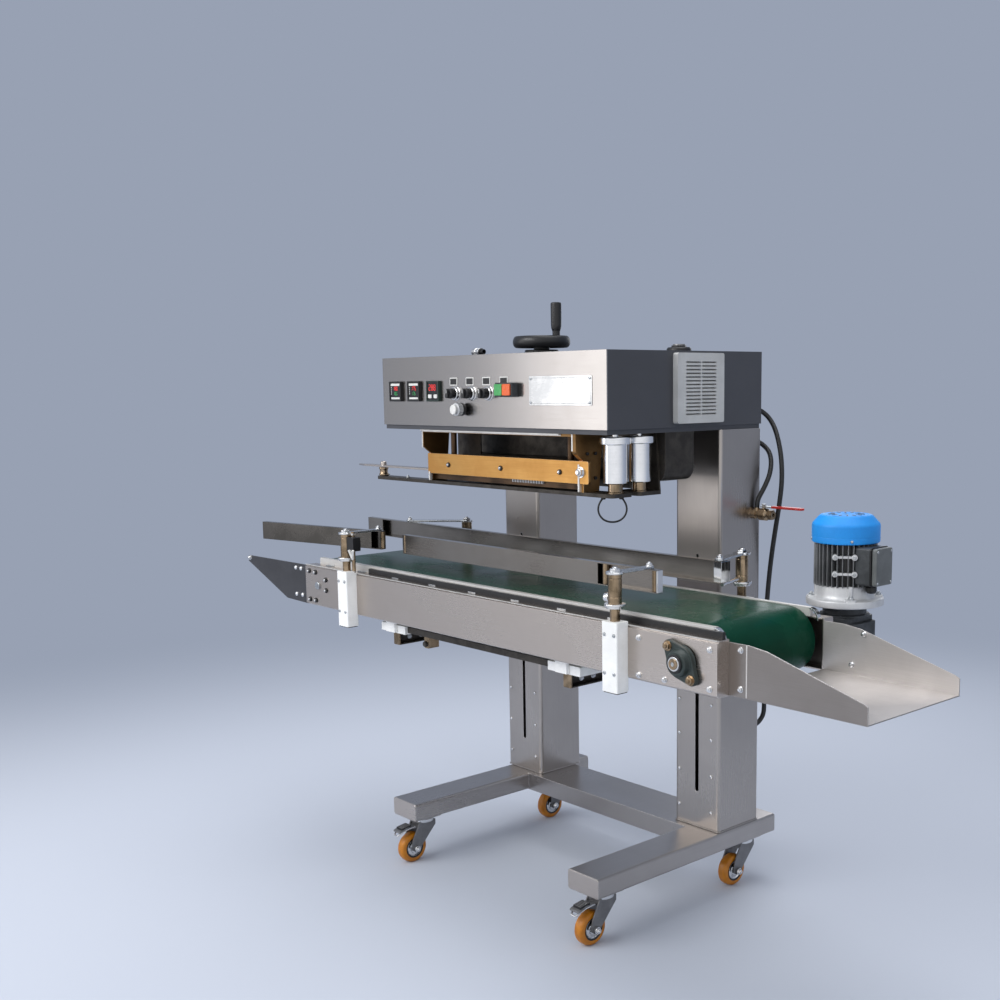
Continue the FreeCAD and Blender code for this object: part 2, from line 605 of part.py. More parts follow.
# Start and stop button: one housing with two keys side by side.
button = outline("button_box", "XZ", [("-button_wid / 2", "-button_hgt / 2"),
                                      ("button_wid / 2", "-button_hgt / 2"),
                                      ("button_wid / 2", "button_hgt / 2"),
                                      ("-button_wid / 2", "button_hgt / 2")], "button_out - key_t",
                 ("button_x", "head_front - button_out + key_t", "button_z"), [("3", [0, 1, 2, 3])])
keys = []
for tag, side in (("start", "-"), ("stop", "")):
    keys.append(outline("key_" + tag, "XZ", [("-button_wid / 4 + 1.5", "-button_hgt / 2 + 2"),
                                             ("button_wid / 4 - 1.5", "-button_hgt / 2 + 2"),
                                             ("button_wid / 4 - 1.5", "button_hgt / 2 - 2"),
                                             ("-button_wid / 4 + 1.5", "button_hgt / 2 - 2")], "key_t + 1",
                        ("button_x + " + side + "button_wid / 4", "head_front - button_out", "button_z"),
                        [("2.5", [0, 1, 2, 3])]))
node(fuse("button", button, *keys), "push_button")

# Pressure regulator's knob: a small disc and neck in front of the grip and its ring.
node(lathe("regulator", "y", [("0", "0"), ("10", "0"), ("11", "1"), ("11", "3"), ("sel_stem / 2 + 1", "4"),
                              ("sel_stem / 2 + 1", "7"), ("reg_dia / 2 - 1", "9"), ("reg_dia / 2", "10"),
                              ("reg_dia / 2", "reg_out - 14"), ("reg_dia / 2 - 2", "reg_out - 13"),
                              ("reg_dia / 2 - 2", "reg_out - 12"), ("reg_dia / 2 - 1", "reg_out - 11"),
                              ("reg_dia / 2 - 1", "reg_out - 6"), ("sel_stem / 2", "reg_out - 6"),
                              ("sel_stem / 2", "reg_out + 12"), ("0", "reg_out + 12")],
           ("reg_x", "head_front - reg_out", "reg_z")), "regulator_knob")

# Handwheel: a rim and a thin web round a boss on a stem, turned in one, and an upright grip.
turned = lathe("hw_turned", "z", [("0", "-hw_gap - 15"), ("hw_stem / 2", "-hw_gap - 15"),
                                  ("hw_stem / 2", "pin_gap - hw_gap"), ("hw_boss / 2", "pin_gap - hw_gap"),
                                  ("hw_boss / 2", "8"), ("hw_dia / 2 - hw_rim", "8"),
                                  ("hw_dia / 2 - hw_rim", "2"), ("hw_dia / 2 - hw_rim + 2", "0"),
                                  ("hw_dia / 2 - 4", "0"), ("hw_dia / 2", "4"), ("hw_dia / 2", "hw_t - 4"),
                                  ("hw_dia / 2 - 4", "hw_t"), ("hw_dia / 2 - hw_rim + 2", "hw_t"),
                                  ("hw_dia / 2 - hw_rim", "hw_t - 2"), ("hw_dia / 2 - hw_rim", "14"),
                                  ("hw_boss / 2 - 2", "14"), ("hw_boss / 2 - 2", "hw_t - 5"),
                                  ("hw_boss / 2 - 5", "hw_t - 2"), ("0", "hw_t - 2")],
               ("hw_x", "hw_y", "hw_low"))
grip = lathe("hw_grip", "z", [("0", "0"), ("grip_dia / 2 - 4", "0"), ("grip_dia / 2 - 4", "20"),
                              ("grip_dia / 2 - 2", "26"), ("grip_dia / 2", "hw_t + 20"),
                              ("grip_dia / 2", "hw_t + grip_hgt - 34"),
                              ("grip_dia / 2 - 2", "hw_t + grip_hgt - 14"),
                              ("grip_dia / 2 - 6", "hw_t + grip_hgt - 9"), ("0", "hw_t + grip_hgt - 8")],
             ("hw_x + hw_dia / 2 - hw_rim - 2", "hw_y", "hw_low + 8"))
node(fuse("handwheel_solid", turned, grip), "handwheel")

coupling = lathe("coupling", "x", [("0", "0"), ("coup_dia / 2 - 2", "0"), ("coup_dia / 2 - 1", "1"),
                                   ("coup_dia / 2 - 1", "9"), ("coup_dia / 2", "10"), ("coup_dia / 2", "15"),
                                   ("coup_dia / 2 - 1", "16"), ("coup_dia / 2 - 1", "20"),
                                   ("coup_dia / 2", "21"), ("coup_dia / 2", "26"),
                                   ("coup_dia / 2 - 2", "27"), ("coup_dia / 2 - 2", "31"),
                                   ("tube_bore / 2 + 2", "32"), ("tube_bore / 2 + 2", "coup_len"),
                                   ("tube_bore / 2", "coup_len"), ("tube_bore / 2", "coup_len / 2"),
                                   ("0", "coup_len / 2")], ("coup_x - coup_len / 2", "hw_y",
                                                            "head_top + coup_dia / 2 + 2"))
coupling_foot = cylinder("coupling_foot", "z", "coup_dia - 4", ("head_top", "head_top + coup_dia / 2 + 2"),
                         ("coup_x - coup_len / 4", "hw_y"))
node(fuse("coupling_solid", coupling, coupling_foot), "top_coupling")
node(lathe("gland", "z", [("0", "0"), ("27", "0"), ("27", "6"), ("24", "9"), ("17", "9"), ("17", "13"),
                          ("14", "16"), ("0", "16")], ("gland_x", "gland_y", "head_top")), "cable_gland")

# Sealing unit. In front of the bags' path: a folded bracket under the head with its
# bar and lower plate, and the sealing block. Behind it: a web that carries the rear
# block, the rear roller's flange and the drive housing.
top = box("seal_top", ("seal_left", "seal_right"), ("seal_front - 22", "seal_front + 115"),
          ("lip_low - 6", "lip_low"))
ends = []
for tag, low, thick in (("left", "seal_left", "6"), ("right", "seal_right - 12", "12")):
    corners = [("0", "0"), ("45", "0"), ("56", "seal_drop - 3"), ("56", "seal_drop"),
               ("-22", "seal_drop"), ("-22", "seal_drop - 40"), ("0", "seal_drop - 57")]
    ends.append(outline("seal_end_" + tag, "YZ", corners, thick, (low, "seal_front", "plate_top"),
                        [("8", [5, 6])]))
front_bar = outline("front_bar", "XZ", [("0", "0"), ("seal_right - seal_left + 21", "0"),
                                        ("seal_right - seal_left + 21", "48"), ("0", "48")], "6",
                    ("seal_left", "seal_front - 6", "plate_top + 18"), [("4", [1, 2])])
node(fuse("bracket", top, front_bar, *ends), "seal_bracket")

main = outline("plate_main", "XY", [("0", "0"), ("plate_right - plate_left", "0"),
                                    ("plate_right - plate_left", "path_y - path_half - seal_front"),
                                    ("seal_left - plate_left", "path_y - path_half - seal_front"),
                                    ("seal_left - plate_left", "34"), ("0", "34")],
               "plate_t", ("plate_left", "seal_front", "plate_low"), [("10", [1]), ("12", [0, 5])])
bush = cylinder("bush_1", "z", "bush_dia", ("plate_top - 1", "press_low - 1"), ("press_x", "press_y1"))
bore = cylinder("bush_bore_1", "z", "spindle_dia + 2 * pin_gap", ("plate_low + 2", "press_low"),
                ("press_x", "press_y1"))
node(cut("lower", fuse("lower_solid", main, bush), bore), "seal_lower_plate")

block = outline("block_bar", "YZ", [("0", "0"), ("40", "0"), ("40", "58"), ("6", "58"), ("0", "50")],
                "seal_right - seal_left - 22", ("seal_left + 8", "seal_front + 8", "plate_top + 4"))
hangers = [cylinder("hanger_" + tag, "z", "14", ("plate_top + 60", "lip_low - 6"), (x, "seal_front + 28"))
           for tag, x in (("left", "seal_left + 60"), ("right", "seal_right - 70"))]
node(fuse("block", block, *hangers), "seal_block")

web = outline("rear_web", "XZ", [("0", "0"), ("plate_right - seal_left - 20", "0"),
                                 ("plate_right - seal_left - 32", "seal_drop"), ("0", "seal_drop")], "web_t",
              ("seal_left + 20", "web_y", "plate_top"))
rear_block = outline("rear_block", "YZ", [("0", "0"), ("web_y - path_y - path_half", "0"),
                                          ("web_y - path_y - path_half", "40"), ("6", "40"), ("0", "34")],
                     "seal_right - seal_left - 40", ("seal_left + 20", "path_y + path_half",
                                                     "plate_top + 22"))
flange = outline("rear_flange", "XY", [("0", "0"), ("82", "0"), ("82", "web_y - path_y - path_half + web_t"),
                                       ("0", "web_y - path_y - path_half + web_t")], "plate_t",
                 ("plate_right - 82", "path_y + path_half", "plate_low"), [("10", [1])])
rear_bush = cylinder("bush_2", "z", "bush_dia", ("plate_top - 1", "press_low - 1"), ("press_x", "press_y2"))
rear_bore = cylinder("bush_bore_2", "z", "spindle_dia + 2 * pin_gap", ("plate_low + 2", "press_low"),
                     ("press_x", "press_y2"))
drive = outline("drive_box", "XZ", [("0", "0"), ("head_right - seal_right + 14", "0"),
                                    ("head_right - seal_right + 14", "seal_drop - 18"),
                                    ("0", "seal_drop - 18")], "90", ("seal_right - 18",
                                                                     "web_y + web_t - 0.5",
                                                                     "plate_top + 18"),
                [("28", [1]), ("6", [0])])
node(cut("rear_unit", fuse("rear_solid", web, rear_block, flange, rear_bush, drive), rear_bore),
     "rear_drive_housing")

guide = outline("guide_bar", "XY", [("0", "12"), ("40", "0"), ("seal_left - inroll_x + 113", "0"),
                                    ("seal_left - inroll_x + 113", "26"), ("40", "26")], "4",
                ("inroll_x - 113", "inroll_y - 12", "plate_top + 23"), [("20", [1])])
pin = lathe("guide_pin", "z", [("0", "0"), ("inroll_pin / 2", "0"), ("inroll_pin / 2", "27"), ("8", "27"),
                               ("8", "35"), ("6", "37"), ("0", "37")], ("inroll_x", "inroll_y",
                                                                        "plate_top"))
node(fuse("guide", guide, pin), "infeed_guide")
node(lathe("inroll", "z", [("inroll_pin / 2 + pin_gap", "0"), ("inroll_dia / 2 - 1", "0"),
                           ("inroll_dia / 2", "1"), ("inroll_dia / 2 - 1.5", "10.5"),
                           ("inroll_dia / 2", "20"), ("inroll_dia / 2 - 1", "21"),
                           ("inroll_pin / 2 + pin_gap", "21")], ("inroll_x", "inroll_y", "plate_top + 1")),
     "infeed_roller")

for i, label in (("1", "press_roller_front"), ("2", "press_roller_rear")):
    node(lathe(label + "_turned", "z", [("0", "3 - plate_t"), ("spindle_dia / 2", "3 - plate_t"),
                                        ("spindle_dia / 2", "press_low - plate_top"),
                                        ("press_dia / 2 - 1", "press_low - plate_top"),
                                        ("press_dia / 2", "press_low - plate_top + 1"),
                                        ("press_dia / 2", "press_top - plate_top - 15"),
                                        ("press_flange / 2 - 1", "press_top - plate_top - 14"),
                                        ("press_flange / 2", "press_top - plate_top - 13"),
                                        ("press_flange / 2", "press_top - plate_top - 1"),
                                        ("press_flange / 2 - 1", "press_top - plate_top"),
                                        ("spindle_dia / 2", "press_top - plate_top"),
                                        ("spindle_dia / 2", "lip_low - pin_gap - plate_top"),
                                        ("0", "lip_low - pin_gap - plate_top")],
               ("press_x", "press_y" + i, "plate_top")), label)

# Conveyor: two side channels, a slider bed, the belt over its rollers.
for tag in ("front", "rear"):
    spot = "side_front" if tag == "front" else "side_back"
    sign = "" if tag == "front" else "-"
    section = [("0", "0"), (sign + "side_deep", "0"), (sign + "side_deep", "sheet_t"),
               (sign + "sheet_t", "sheet_t"), (sign + "sheet_t", "side_top - side_low - sheet_t"),
               (sign + "side_deep", "side_top - side_low - sheet_t"), (sign + "side_deep",
                                                                       "side_top - side_low"),
               ("0", "side_top - side_low")]
    parts = [outline("side_channel_" + tag, "YZ", section, "conv_len", ("side_left", spot, "side_low"),
                     [("side_round", [0, 7])])]
    low, high = ("side_front + 1", "side_front + side_deep") if tag == "front" else ("side_back - side_deep",
                                                                                     "side_back - 1")
    for end, x in (("left", "side_left"), ("right", "side_right - sheet_t")):
        parts.append(box("side_end_%s_%s" % (tag, end), (x, x + " + sheet_t"), (low, high),
                         ("side_low + 1", "side_top - 1")))
    if tag == "front":
        for name, left, right, more in (
                ("left", "side_left", "post_left - block_x / 2", "0"),
                ("mid", "post_left + block_x / 2", "post_right - block_x / 2", "1"),
                ("right", "post_right + block_x / 2", "side_right", "0")):
            parts.append(box("cover_" + name, (left, right), ("side_front - sheet_t", "side_front + 1"),
                             ("side_low + side_round - " + more, "side_top - side_round + " + more)))
    bores = [cylinder("side_bore_%s_%s" % (tag, end), "y", "shaft_dia + 2 * pin_gap",
                      ("%s - 39" % spot, "%s + 39" % spot), (end + "_x", "roll_z"))
             for end in ("drive", "tail")]
    node(cut("side_%s_cut" % tag, fuse("side_solid_" + tag, *parts), *bores), "conveyor_side_" + tag)

bed = box("bed", ("tail_x + 40", "drive_x - 40"), ("side_front + side_deep", "side_back - side_deep"),
          ("belt_top - belt_t - 4", "belt_top - belt_t"))
edges = []
for tag, low, high in (("front", "side_front + side_deep - 6", "belt_front - 1"),
                       ("rear", "belt_back + 1", "side_back - side_deep + 6")):
    edges.append(box("edge_" + tag, ("side_left + 30", "side_right - 30"), (low, high),
                     ("side_top", "belt_top + 2")))
node(fuse("bed_solid", bed, *edges), "slider_bed")


def stadium(name, radius, low, high):
    """A flat loop's outline solid round both rollers."""
    mid = box(name + "_mid", ("tail_x", "drive_x"), (low, high), ("roll_z - (%s)" % radius,
                                                                  "roll_z + (%s)" % radius))
    rounds = [cylinder(name + "_" + end, "y", "2 * (%s)" % radius, (low, high), (end + "_x", "roll_z"))
              for end in ("tail", "drive")]
    return fuse(name, mid, *rounds)


node(cut("belt", stadium("belt_outer", "belt_r", "belt_front", "belt_back"),
         stadium("belt_inner", "roll_r", "belt_front - 1", "belt_back + 1")), "conveyor_belt")
for end, low, high in (("tail", "side_front - 8", "side_back + 8"), ("drive", "side_front - 32",
                                                                     "motor_y - 10")):
    section = [("0", "0"), ("shaft_dia / 2 - 1", "0"), ("shaft_dia / 2", "1"),
               ("shaft_dia / 2", "belt_front - (%s)" % low), ("roll_r", "belt_front - (%s)" % low),
               ("roll_r", "belt_back - (%s)" % low), ("shaft_dia / 2", "belt_back - (%s)" % low),
               ("shaft_dia / 2", "%s - (%s)" % (high, low)), ("0", "%s - (%s)" % (high, low))]
    node(lathe(end + "_turned", "y", section, (end + "_x", low, "roll_z")), end + "_roller")

# Infeed wing: a tapering side plate that carries the channel on towards the operator.
node(outline("wing", "XZ", [("0", "side_top - side_low - 5"), ("0", "side_top - side_low - 20"),
                            ("wing_len * 2 / 3", "3"), ("wing_len", "1"),
                            ("wing_len", "side_top - side_low - 2")], "sheet_t",
             ("-half_len", "side_front", "side_low"), [("5", [0, 1]), ("30", [2])]), "infeed_wing")

# Chute: a floor between two side walls with rounded shoulders.
walls = []
for tag, low in (("front", "chute_front"), ("back", "chute_back - chute_t")):
    corners = [("0", "0"), ("chute_len", "0"), ("chute_len", "chute_hgt / 3"),
               ("chute_len * 0.97", "chute_hgt * 0.38"), ("chute_len * 0.29", "chute_hgt * 0.95"),
               ("chute_len * 0.15", "chute_hgt"), ("0", "chute_hgt")]
    walls.append(outline("chute_wall_" + tag, "XZ", corners, "chute_t", ("side_right", low, "floor_z"),
                         [("40", [4]), ("10", [3])]))
floor = box("chute_floor", ("side_right", "half_len"), ("chute_front", "chute_back"),
            ("floor_z", "floor_z + chute_t"))
node(fuse("chute", floor, *walls), "discharge_chute")

# Bearing of the drive shaft: a two-bolt flange with a turned housing.
lobes = outline("bearing_flange", "XZ", [("-40", "41"), ("-36", "14"), ("-10", "-32"), ("40", "-41"),
                                         ("36", "-14"), ("10", "32")], "10",
                ("drive_x", "side_front - sheet_t - 10", "roll_z"), [("13", [0, 3]), ("28", [1, 2, 4, 5])])
hub = lathe("bearing_hub", "y", [("shaft_dia / 2 + pin_gap", "0"), ("21", "0"), ("24", "3"), ("24", "10"),
                                 ("29", "13"), ("30", "24"), ("shaft_dia / 2 + pin_gap", "24")],
            ("drive_x", "side_front - sheet_t - 24", "roll_z"))
bore = cylinder("bearing_bore", "y", "shaft_dia + 2 * pin_gap", ("side_front - 40", "side_front"),
                ("drive_x", "roll_z"))
node(cut("bearing", fuse("bearing_solid", hub, lobes), bore), "flange_bearing")

# Guide posts: a nylon block on each side channel, and a turned post with its ring,
# sleeve and cap. A flat arm clamps the guide rail, and a thin rod steadies it below.
POST_SECTION = [("0", "0"), ("post_dia / 2", "0"), ("post_dia / 2", "ring_up"), ("ring_dia / 2", "ring_up"),
                ("ring_dia / 2", "ring_up + 5"), ("sleeve_dia / 2", "ring_up + 5"),
                ("sleeve_dia / 2", "rail_top - block_top"), ("ring_dia / 2 - 3", "rail_top - block_top"),
                ("ring_dia / 2 - 3", "rail_top - block_top + 4"),
                ("post_dia / 2", "rail_top - block_top + 4"), ("post_dia / 2", "rail_top - block_top + 10"),
                ("post_dia / 2 - 3", "rail_top - block_top + 13"), ("0", "rail_top - block_top + 13")]
for side in ("left", "right"):
    for end in ("front", "rear"):
        tag = side + "_" + end
        x = "post_" + side
        y = "post_" + end
        wall = "side_front - block_y" if end == "front" else "side_back"
        block = outline("block_" + tag, "XY", [("-block_x / 2", "0"), ("block_x / 2", "0"),
                                               ("block_x / 2", "block_y"), ("-block_x / 2", "block_y")],
                        "block_top - block_low", (x, wall, "block_low"),
                        [("block_round", [0, 1] if end == "front" else [2, 3])])
        parts = [lathe("post_" + tag, "z", POST_SECTION, (x, y, "block_top"))]
        ends = {"left_front": (x, "rail_b_y + 9"), "right_front": (x, "rail_b_y + 8"),
                "left_rear": ("post_left - 110", "rail_c_y + rail_deep / 2"),
                "right_rear": ("rail_c_right - 9", "rail_c_y + rail_deep / 2")}
        parts.append(bar("link_" + tag, (x, y), ends[tag], "link_wid", ("rail_top", "rail_top + link_t")))
        if end == "front":
            node(block, "post_block_" + side)
        else:
            parts.append(block)
            rod = bar("rod_" + tag, (x, y), (ends[tag][0], "rail_c_y + rail_deep"), "rod_dia",
                      ("rail_low - rod_dia", "rail_low"))
            parts.append(rod)
        node(fuse("post_solid_" + tag, *parts), "guide_post_" + tag)

# Guide rails: channels open to the front with round spacers at the ends, the two
# front ones closed by a face strip over most of their length.
RAIL_SECTION = [("0", "0"), ("rail_deep", "0"), ("rail_deep", "rail_hgt"), ("0", "rail_hgt"),
                ("0", "rail_hgt - rail_t"), ("rail_deep - rail_t", "rail_hgt - rail_t"),
                ("rail_deep - rail_t", "rail_t"), ("0", "rail_t")]


def channel(name, length, spot, angle=None, strip=None):
    """A channel rail along X, open to the front, with a face strip between two formulas."""
    profile = outline(name + "_channel", "YZ", RAIL_SECTION, length, ("0", "0", "0"), [("rail_t", [1, 2])])
    parts = [cylinder("%s_spacer_%s" % (name, tag), "z", "9", ("rail_t - 1", "rail_hgt - rail_t + 1"),
                      (x, "rail_deep / 2")) for tag, x in (("a", "12"), ("b", "(%s) - 12" % length))]
    if strip:
        parts.append(box(name + "_strip", strip, ("0", "rail_t"), ("rail_t - 1", "rail_hgt - rail_t + 1")))
    rail = place(fuse(name, profile, *parts), *spot, turn=Rotation(Vector(0, 0, 1), 1 if angle else 0))
    if angle:
        rail.setExpression("Placement.Rotation.Angle", formula(angle))
    return rail


node(channel("rail_a", "rail_a_len", ("post_left - 414", "side_front - 15", "rail_low"),
             "atan2(rail_b_y + 5 - side_front + 15; rail_a_len - 9)", ("0", "rail_a_len - 34")),
     "guide_rail_infeed")
node(channel("rail_b", "rail_c_right - rail_b_left - 10", ("rail_b_left", "rail_b_y", "rail_low"),
             strip=("0", "rail_c_right - rail_b_left - 175")), "guide_rail_front")
rear_rail = channel("rail_c", "rail_c_right - rail_c_left", ("rail_c_left", "rail_c_y", "rail_low"))
end_block = box("rail_end_block", ("rail_c_right - 18", "rail_c_right"), ("rail_c_y + 3", "rail_c_y + 30"),
                ("rail_low + rail_t", "rail_top - rail_t"))
node(fuse("rail_c_solid", rear_rail, end_block), "guide_rail_rear")

# Supports: each slides on a column by a clamp through the slot. Its arm is a channel with
# an end plate, and carries a pad with a strap up to the flange of either side channel. A
# bar with a lug joins the two pads.
for side in ("left", "right"):
    x = "col_" + side
    arm = outline("support_arm_" + side, "XZ", [("-arm_wid / 2", "0"), ("arm_wid / 2", "0"),
                                                ("arm_wid / 2", "sheet_t"),
                                                ("sheet_t - arm_wid / 2", "sheet_t"),
                                                ("sheet_t - arm_wid / 2", "arm_hgt - sheet_t"),
                                                ("arm_wid / 2", "arm_hgt - sheet_t"),
                                                ("arm_wid / 2", "arm_hgt"), ("-arm_wid / 2", "arm_hgt")],
                  "col_front - slide_gap - clamp_t + 1 - pad_front - 3", (x, "pad_front + 3", "arm_low"),
                  [("2", [0, 7])])
    parts = [arm]
    parts.append(box("support_cap_" + side, (x + " - arm_wid / 2", x + " + arm_wid / 2"),
                     ("pad_front + 1", "pad_front + 4"), ("arm_low", "arm_top + 1")))
    parts.append(outline("support_pad_" + side, "XY", [("-pad_wid / 2", "0"), ("pad_wid / 2", "0"),
                                                       ("pad_wid / 2",
                                                        "side_back - side_deep - pad_front + 2"),
                                                       ("-pad_wid / 2",
                                                        "side_back - side_deep - pad_front + 2")], "pad_hgt",
                         (x, "pad_front", "arm_top"), [("2", [0, 1, 2, 3])]))
    for tag, low, high in (("front", "side_front + side_deep - 3", "pad_front + 1"),
                           ("rear", "side_back - side_deep + 1", "side_back - side_deep + 3 + strap_t")):
        strap = "side_front + side_deep - 3 + strap_t" if tag == "front" else high
        start = low if tag == "front" else "side_back - side_deep + 3"
        width = (x + " - strap_wid / 2", x + " + strap_wid / 2")
        parts.append(box("support_tab_%s_%s" % (side, tag), width, (low, high),
                         ("arm_top", "arm_top + pad_hgt")))
        parts.append(box("support_strap_%s_%s" % (side, tag), width, (start, strap), ("arm_top", "side_low")))
    parts.append(outline("clamp_" + side, "XZ", [("-clamp_wid / 2", "-4"), ("clamp_wid / 2", "-4"),
                                                 ("clamp_wid / 2", "arm_hgt + 36"),
                                                 ("-clamp_wid / 2", "arm_hgt + 36")], "clamp_t",
                         (x, "col_front - slide_gap - clamp_t", "arm_low"), [("8", [0, 1, 2, 3])]))
    parts.append(box("tongue_" + side, (x + " - slot_wid / 2 + slide_gap", x + " + slot_wid / 2 - slide_gap"),
                     ("col_front - slide_gap - 1", "col_front + sheet_t + slide_gap + 1"),
                     ("arm_low + 10", "arm_top + 20")))
    parts.append(box("inside_" + side, (x + " - 40", x + " + 40"),
                     ("col_front + sheet_t + slide_gap", "col_front + sheet_t + slide_gap + clamp_t"),
                     ("arm_low + 10", "arm_top + 20")))
    if side == "right":
        parts.append(box("tie_bar", ("col_left + pad_wid / 2", "col_right - pad_wid / 2 + 1"),
                         ("pad_front - 2", "pad_front - 2 + tie_deep"),
                         ("arm_top + 4", "arm_top + 4 + tie_hgt")))
        parts.append(outline("tie_lug", "XZ", [("0", "0"), ("lug_wid", "0"), ("lug_wid", "arm_hgt"),
                                               ("0", "arm_hgt")], "30",
                             ("lug_x", "pad_front", "arm_top - 23"), [("3", [0, 1])]))
    node(fuse("support_" + side, *parts), "conveyor_support_" + side)

# Drive: a worm gearbox on the rear channel, and over it an upright motor with a
# finned body, a rounded cover and a terminal box.
house = outline("gear_house", "XY", [("drive_x - motor_x - 45", "-40"), ("34", "-40"), ("34", "40"),
                                     ("drive_x - motor_x - 45", "40")], "gear_top - side_low - 4",
                ("motor_x", "motor_y", "side_low + 4"), [("gear_round", [0, 1, 2, 3])])
nose = lathe("gear_nose", "y", [("0", "0"), ("27", "0"), ("27", "16"), ("31", "20"),
                                ("31", "motor_y - 39 - side_back"), ("0", "motor_y - 39 - side_back")],
             ("drive_x", "side_back", "roll_z"))
disc = lathe("gear_disc", "y", [("0", "0"), ("30", "0"), ("28", "5"), ("0", "5")],
             ("drive_x", "motor_y + 40", "roll_z"))
foot = box("gear_foot", ("drive_x - 52", "motor_x + 40"), ("motor_y - 34", "motor_y + 34"),
           ("side_low", "side_low + 8"))
bore = cylinder("gear_bore", "y", "shaft_dia + 2 * pin_gap", ("side_back - 1", "motor_y - 10"),
                ("drive_x", "roll_z"))
node(cut("gear", fuse("gear_solid", house, nose, disc, foot), bore), "gearbox")

carcass = lathe("motor_turned", "z", [("0", "0"), ("flange_dia / 2 - 1", "0"), ("flange_dia / 2", "1"),
                                      ("flange_dia / 2", "flange_t - 2"), ("flange_dia / 2 - 2", "flange_t"),
                                      ("bell_dia / 2 + 2", "flange_t + 1"), ("bell_dia / 2", "flange_t + 4"),
                                      ("bell_dia / 2", "48"), ("fin_dia / 2 - fin_deep", "48"),
                                      ("fin_dia / 2 - fin_deep", "130"), ("cover_dia / 2", "130"),
                                      ("cover_dia / 2", "186"), ("cover_dia / 2 - 2", "190"),
                                      ("cover_dia / 2 - 15", "205"), ("cover_dia / 2 - 18", "207"),
                                      ("0", "207")], ("motor_x", "motor_y", "gear_top"))
fins = doc.addObject("PartDesign::Body", "motor_fins")
fin = fins.newObject("PartDesign::Pad", "fin")
fin.Profile = sketch(fins, "fin_outline", "XY", [("fin_dia / 2 - fin_deep - 12", "-fin_t / 2"),
                                                 ("fin_dia / 2", "-fin_t / 2"), ("fin_dia / 2", "fin_t / 2"),
                                                 ("fin_dia / 2 - fin_deep - 12", "fin_t / 2")])
fin.setExpression("Length", "84")
core = fins.newObject("PartDesign::AdditiveCylinder", "fin_core")
bind(core, Radius="fin_dia / 2 - fin_deep - 1", Height="84")
doc.recompute()
ring = fins.newObject("PartDesign::PolarPattern", "fin_ring")
ring.Originals = [fin]
ring.Axis = (origin(fins, "Z_Axis"), [""])
ring.Angle = 360
bind(ring, Occurrences="fin_n")
fins.Tip = ring
place(fins, "motor_x", "motor_y", "gear_top + 47")
terminals = outline("motor_terminals", "XY", [("0", "-40"), ("48", "-40"), ("62", "-28"), ("62", "28"),
                                              ("48", "40"), ("0", "40")], "79",
                    ("motor_x + 50", "motor_y", "gear_top + 51"), [("4", [2, 3])])
node(fuse("motor_solid", carcass, fins, terminals), "motor")

# Air valve on the right column's side, with its turning lever.
valve = lathe("valve_turned", "x", [("0", "0"), ("11", "0"), ("11", "6"), ("pipe_dia / 2", "6"),
                                    ("pipe_dia / 2", "15"), ("valve_dia / 2", "19"), ("valve_dia / 2", "37"),
                                    ("pipe_dia / 2", "41"), ("pipe_dia / 2", "44"), ("11", "44"),
                                    ("11", "55"), ("tube_bore / 2", "55"), ("tube_bore / 2", "43"),
                                    ("0", "43")], ("col_right + col_wid / 2", "valve_y", "valve_z"))
stem = cylinder("valve_stem", "z", "8", ("valve_z", "valve_z + 24"), ("valve_x", "valve_y"))
port = cylinder("valve_port", "z", "port_dia", ("valve_z", "valve_z + 14.5"), ("port_x", "valve_y"))
node(fuse("valve", valve, stem, port), "valve_body")
lever = outline("lever_plate", "XY", [("-8", "-8"), ("10", "-8"), ("24", "-6"), ("lever_len", "-7"),
                                      ("lever_len", "7"), ("24", "6"), ("10", "8"), ("-8", "8")], "4",
                ("valve_x", "valve_y", "valve_z + 16"), [("6", [3, 4, 0, 7])])
lever_bore = cylinder("lever_bore", "z", "8 + 2 * pin_gap", ("valve_z + 10", "valve_z + 30"),
                      ("valve_x", "valve_y"))
node(cut("lever", lever, lever_bore), "valve_lever")

# Hoses from the head to the column's foot and from the column to the valve, and the
# thin lead that hangs in a loop under the sealing unit.
cord("hose_outer", [(300, 285.2, 1130), (300, 296, 1130), (302, 307, 1127), (306, 318, 1121),
                    (315, 327, 1110), (330, 328, 1091), (348, 321, 1063), (364, 314, 1021), (371, 309, 967),
                    (366, 306, 911), (357, 304, 854), (348, 303, 796), (340, 304, 739), (334, 305, 681),
                    (329, 307, 624), (324, 309, 568), (319, 312, 514), (315, 318, 466), (313, 326, 429),
                    (309, 328, 403), (304, 319, 388), (302, 307, 382), (300, 296, 380), (300, 285.2, 380)],
     11)
cord("hose_inner", [(290, 285.2, 1060), (290, 295, 1060), (292, 305, 1057), (297, 316, 1052),
                    (308, 323, 1043), (324, 321, 1030), (339, 310, 1009), (347, 295, 982), (346, 281, 958),
                    (342, 271, 940), (338, 265, 927), (337, 262.5, 916.5), (337, 262, 906.7)], 11)
cord("cable_loop", [(264.2, -154, 953.7), (261.5, -157, 948.5), (257.4, -161.4, 938), (256.4, -162.5, 925),
                    (260.1, -158.4, 912), (267.5, -150.3, 903.5), (277, -140, 901), (286.5, -129.7, 903.5),
                    (293.9, -121.6, 912), (297.6, -117.5, 925), (296.6, -118.6, 938), (292.5, -123, 948.5),
                    (289.8, -126, 953.7)], 4)

doc.recompute()

# Every object must have worked before anything is written.
bad = [obj.Name for obj in doc.Objects if {"Invalid", "Error"} & set(obj.State)]
for obj in nodes:
    if obj.Shape.isNull() or not obj.Shape.isValid() or not obj.Shape.Solids:
        bad.append(obj.Label)
if bad:
    raise RuntimeError("failed objects: " + ", ".join(bad))

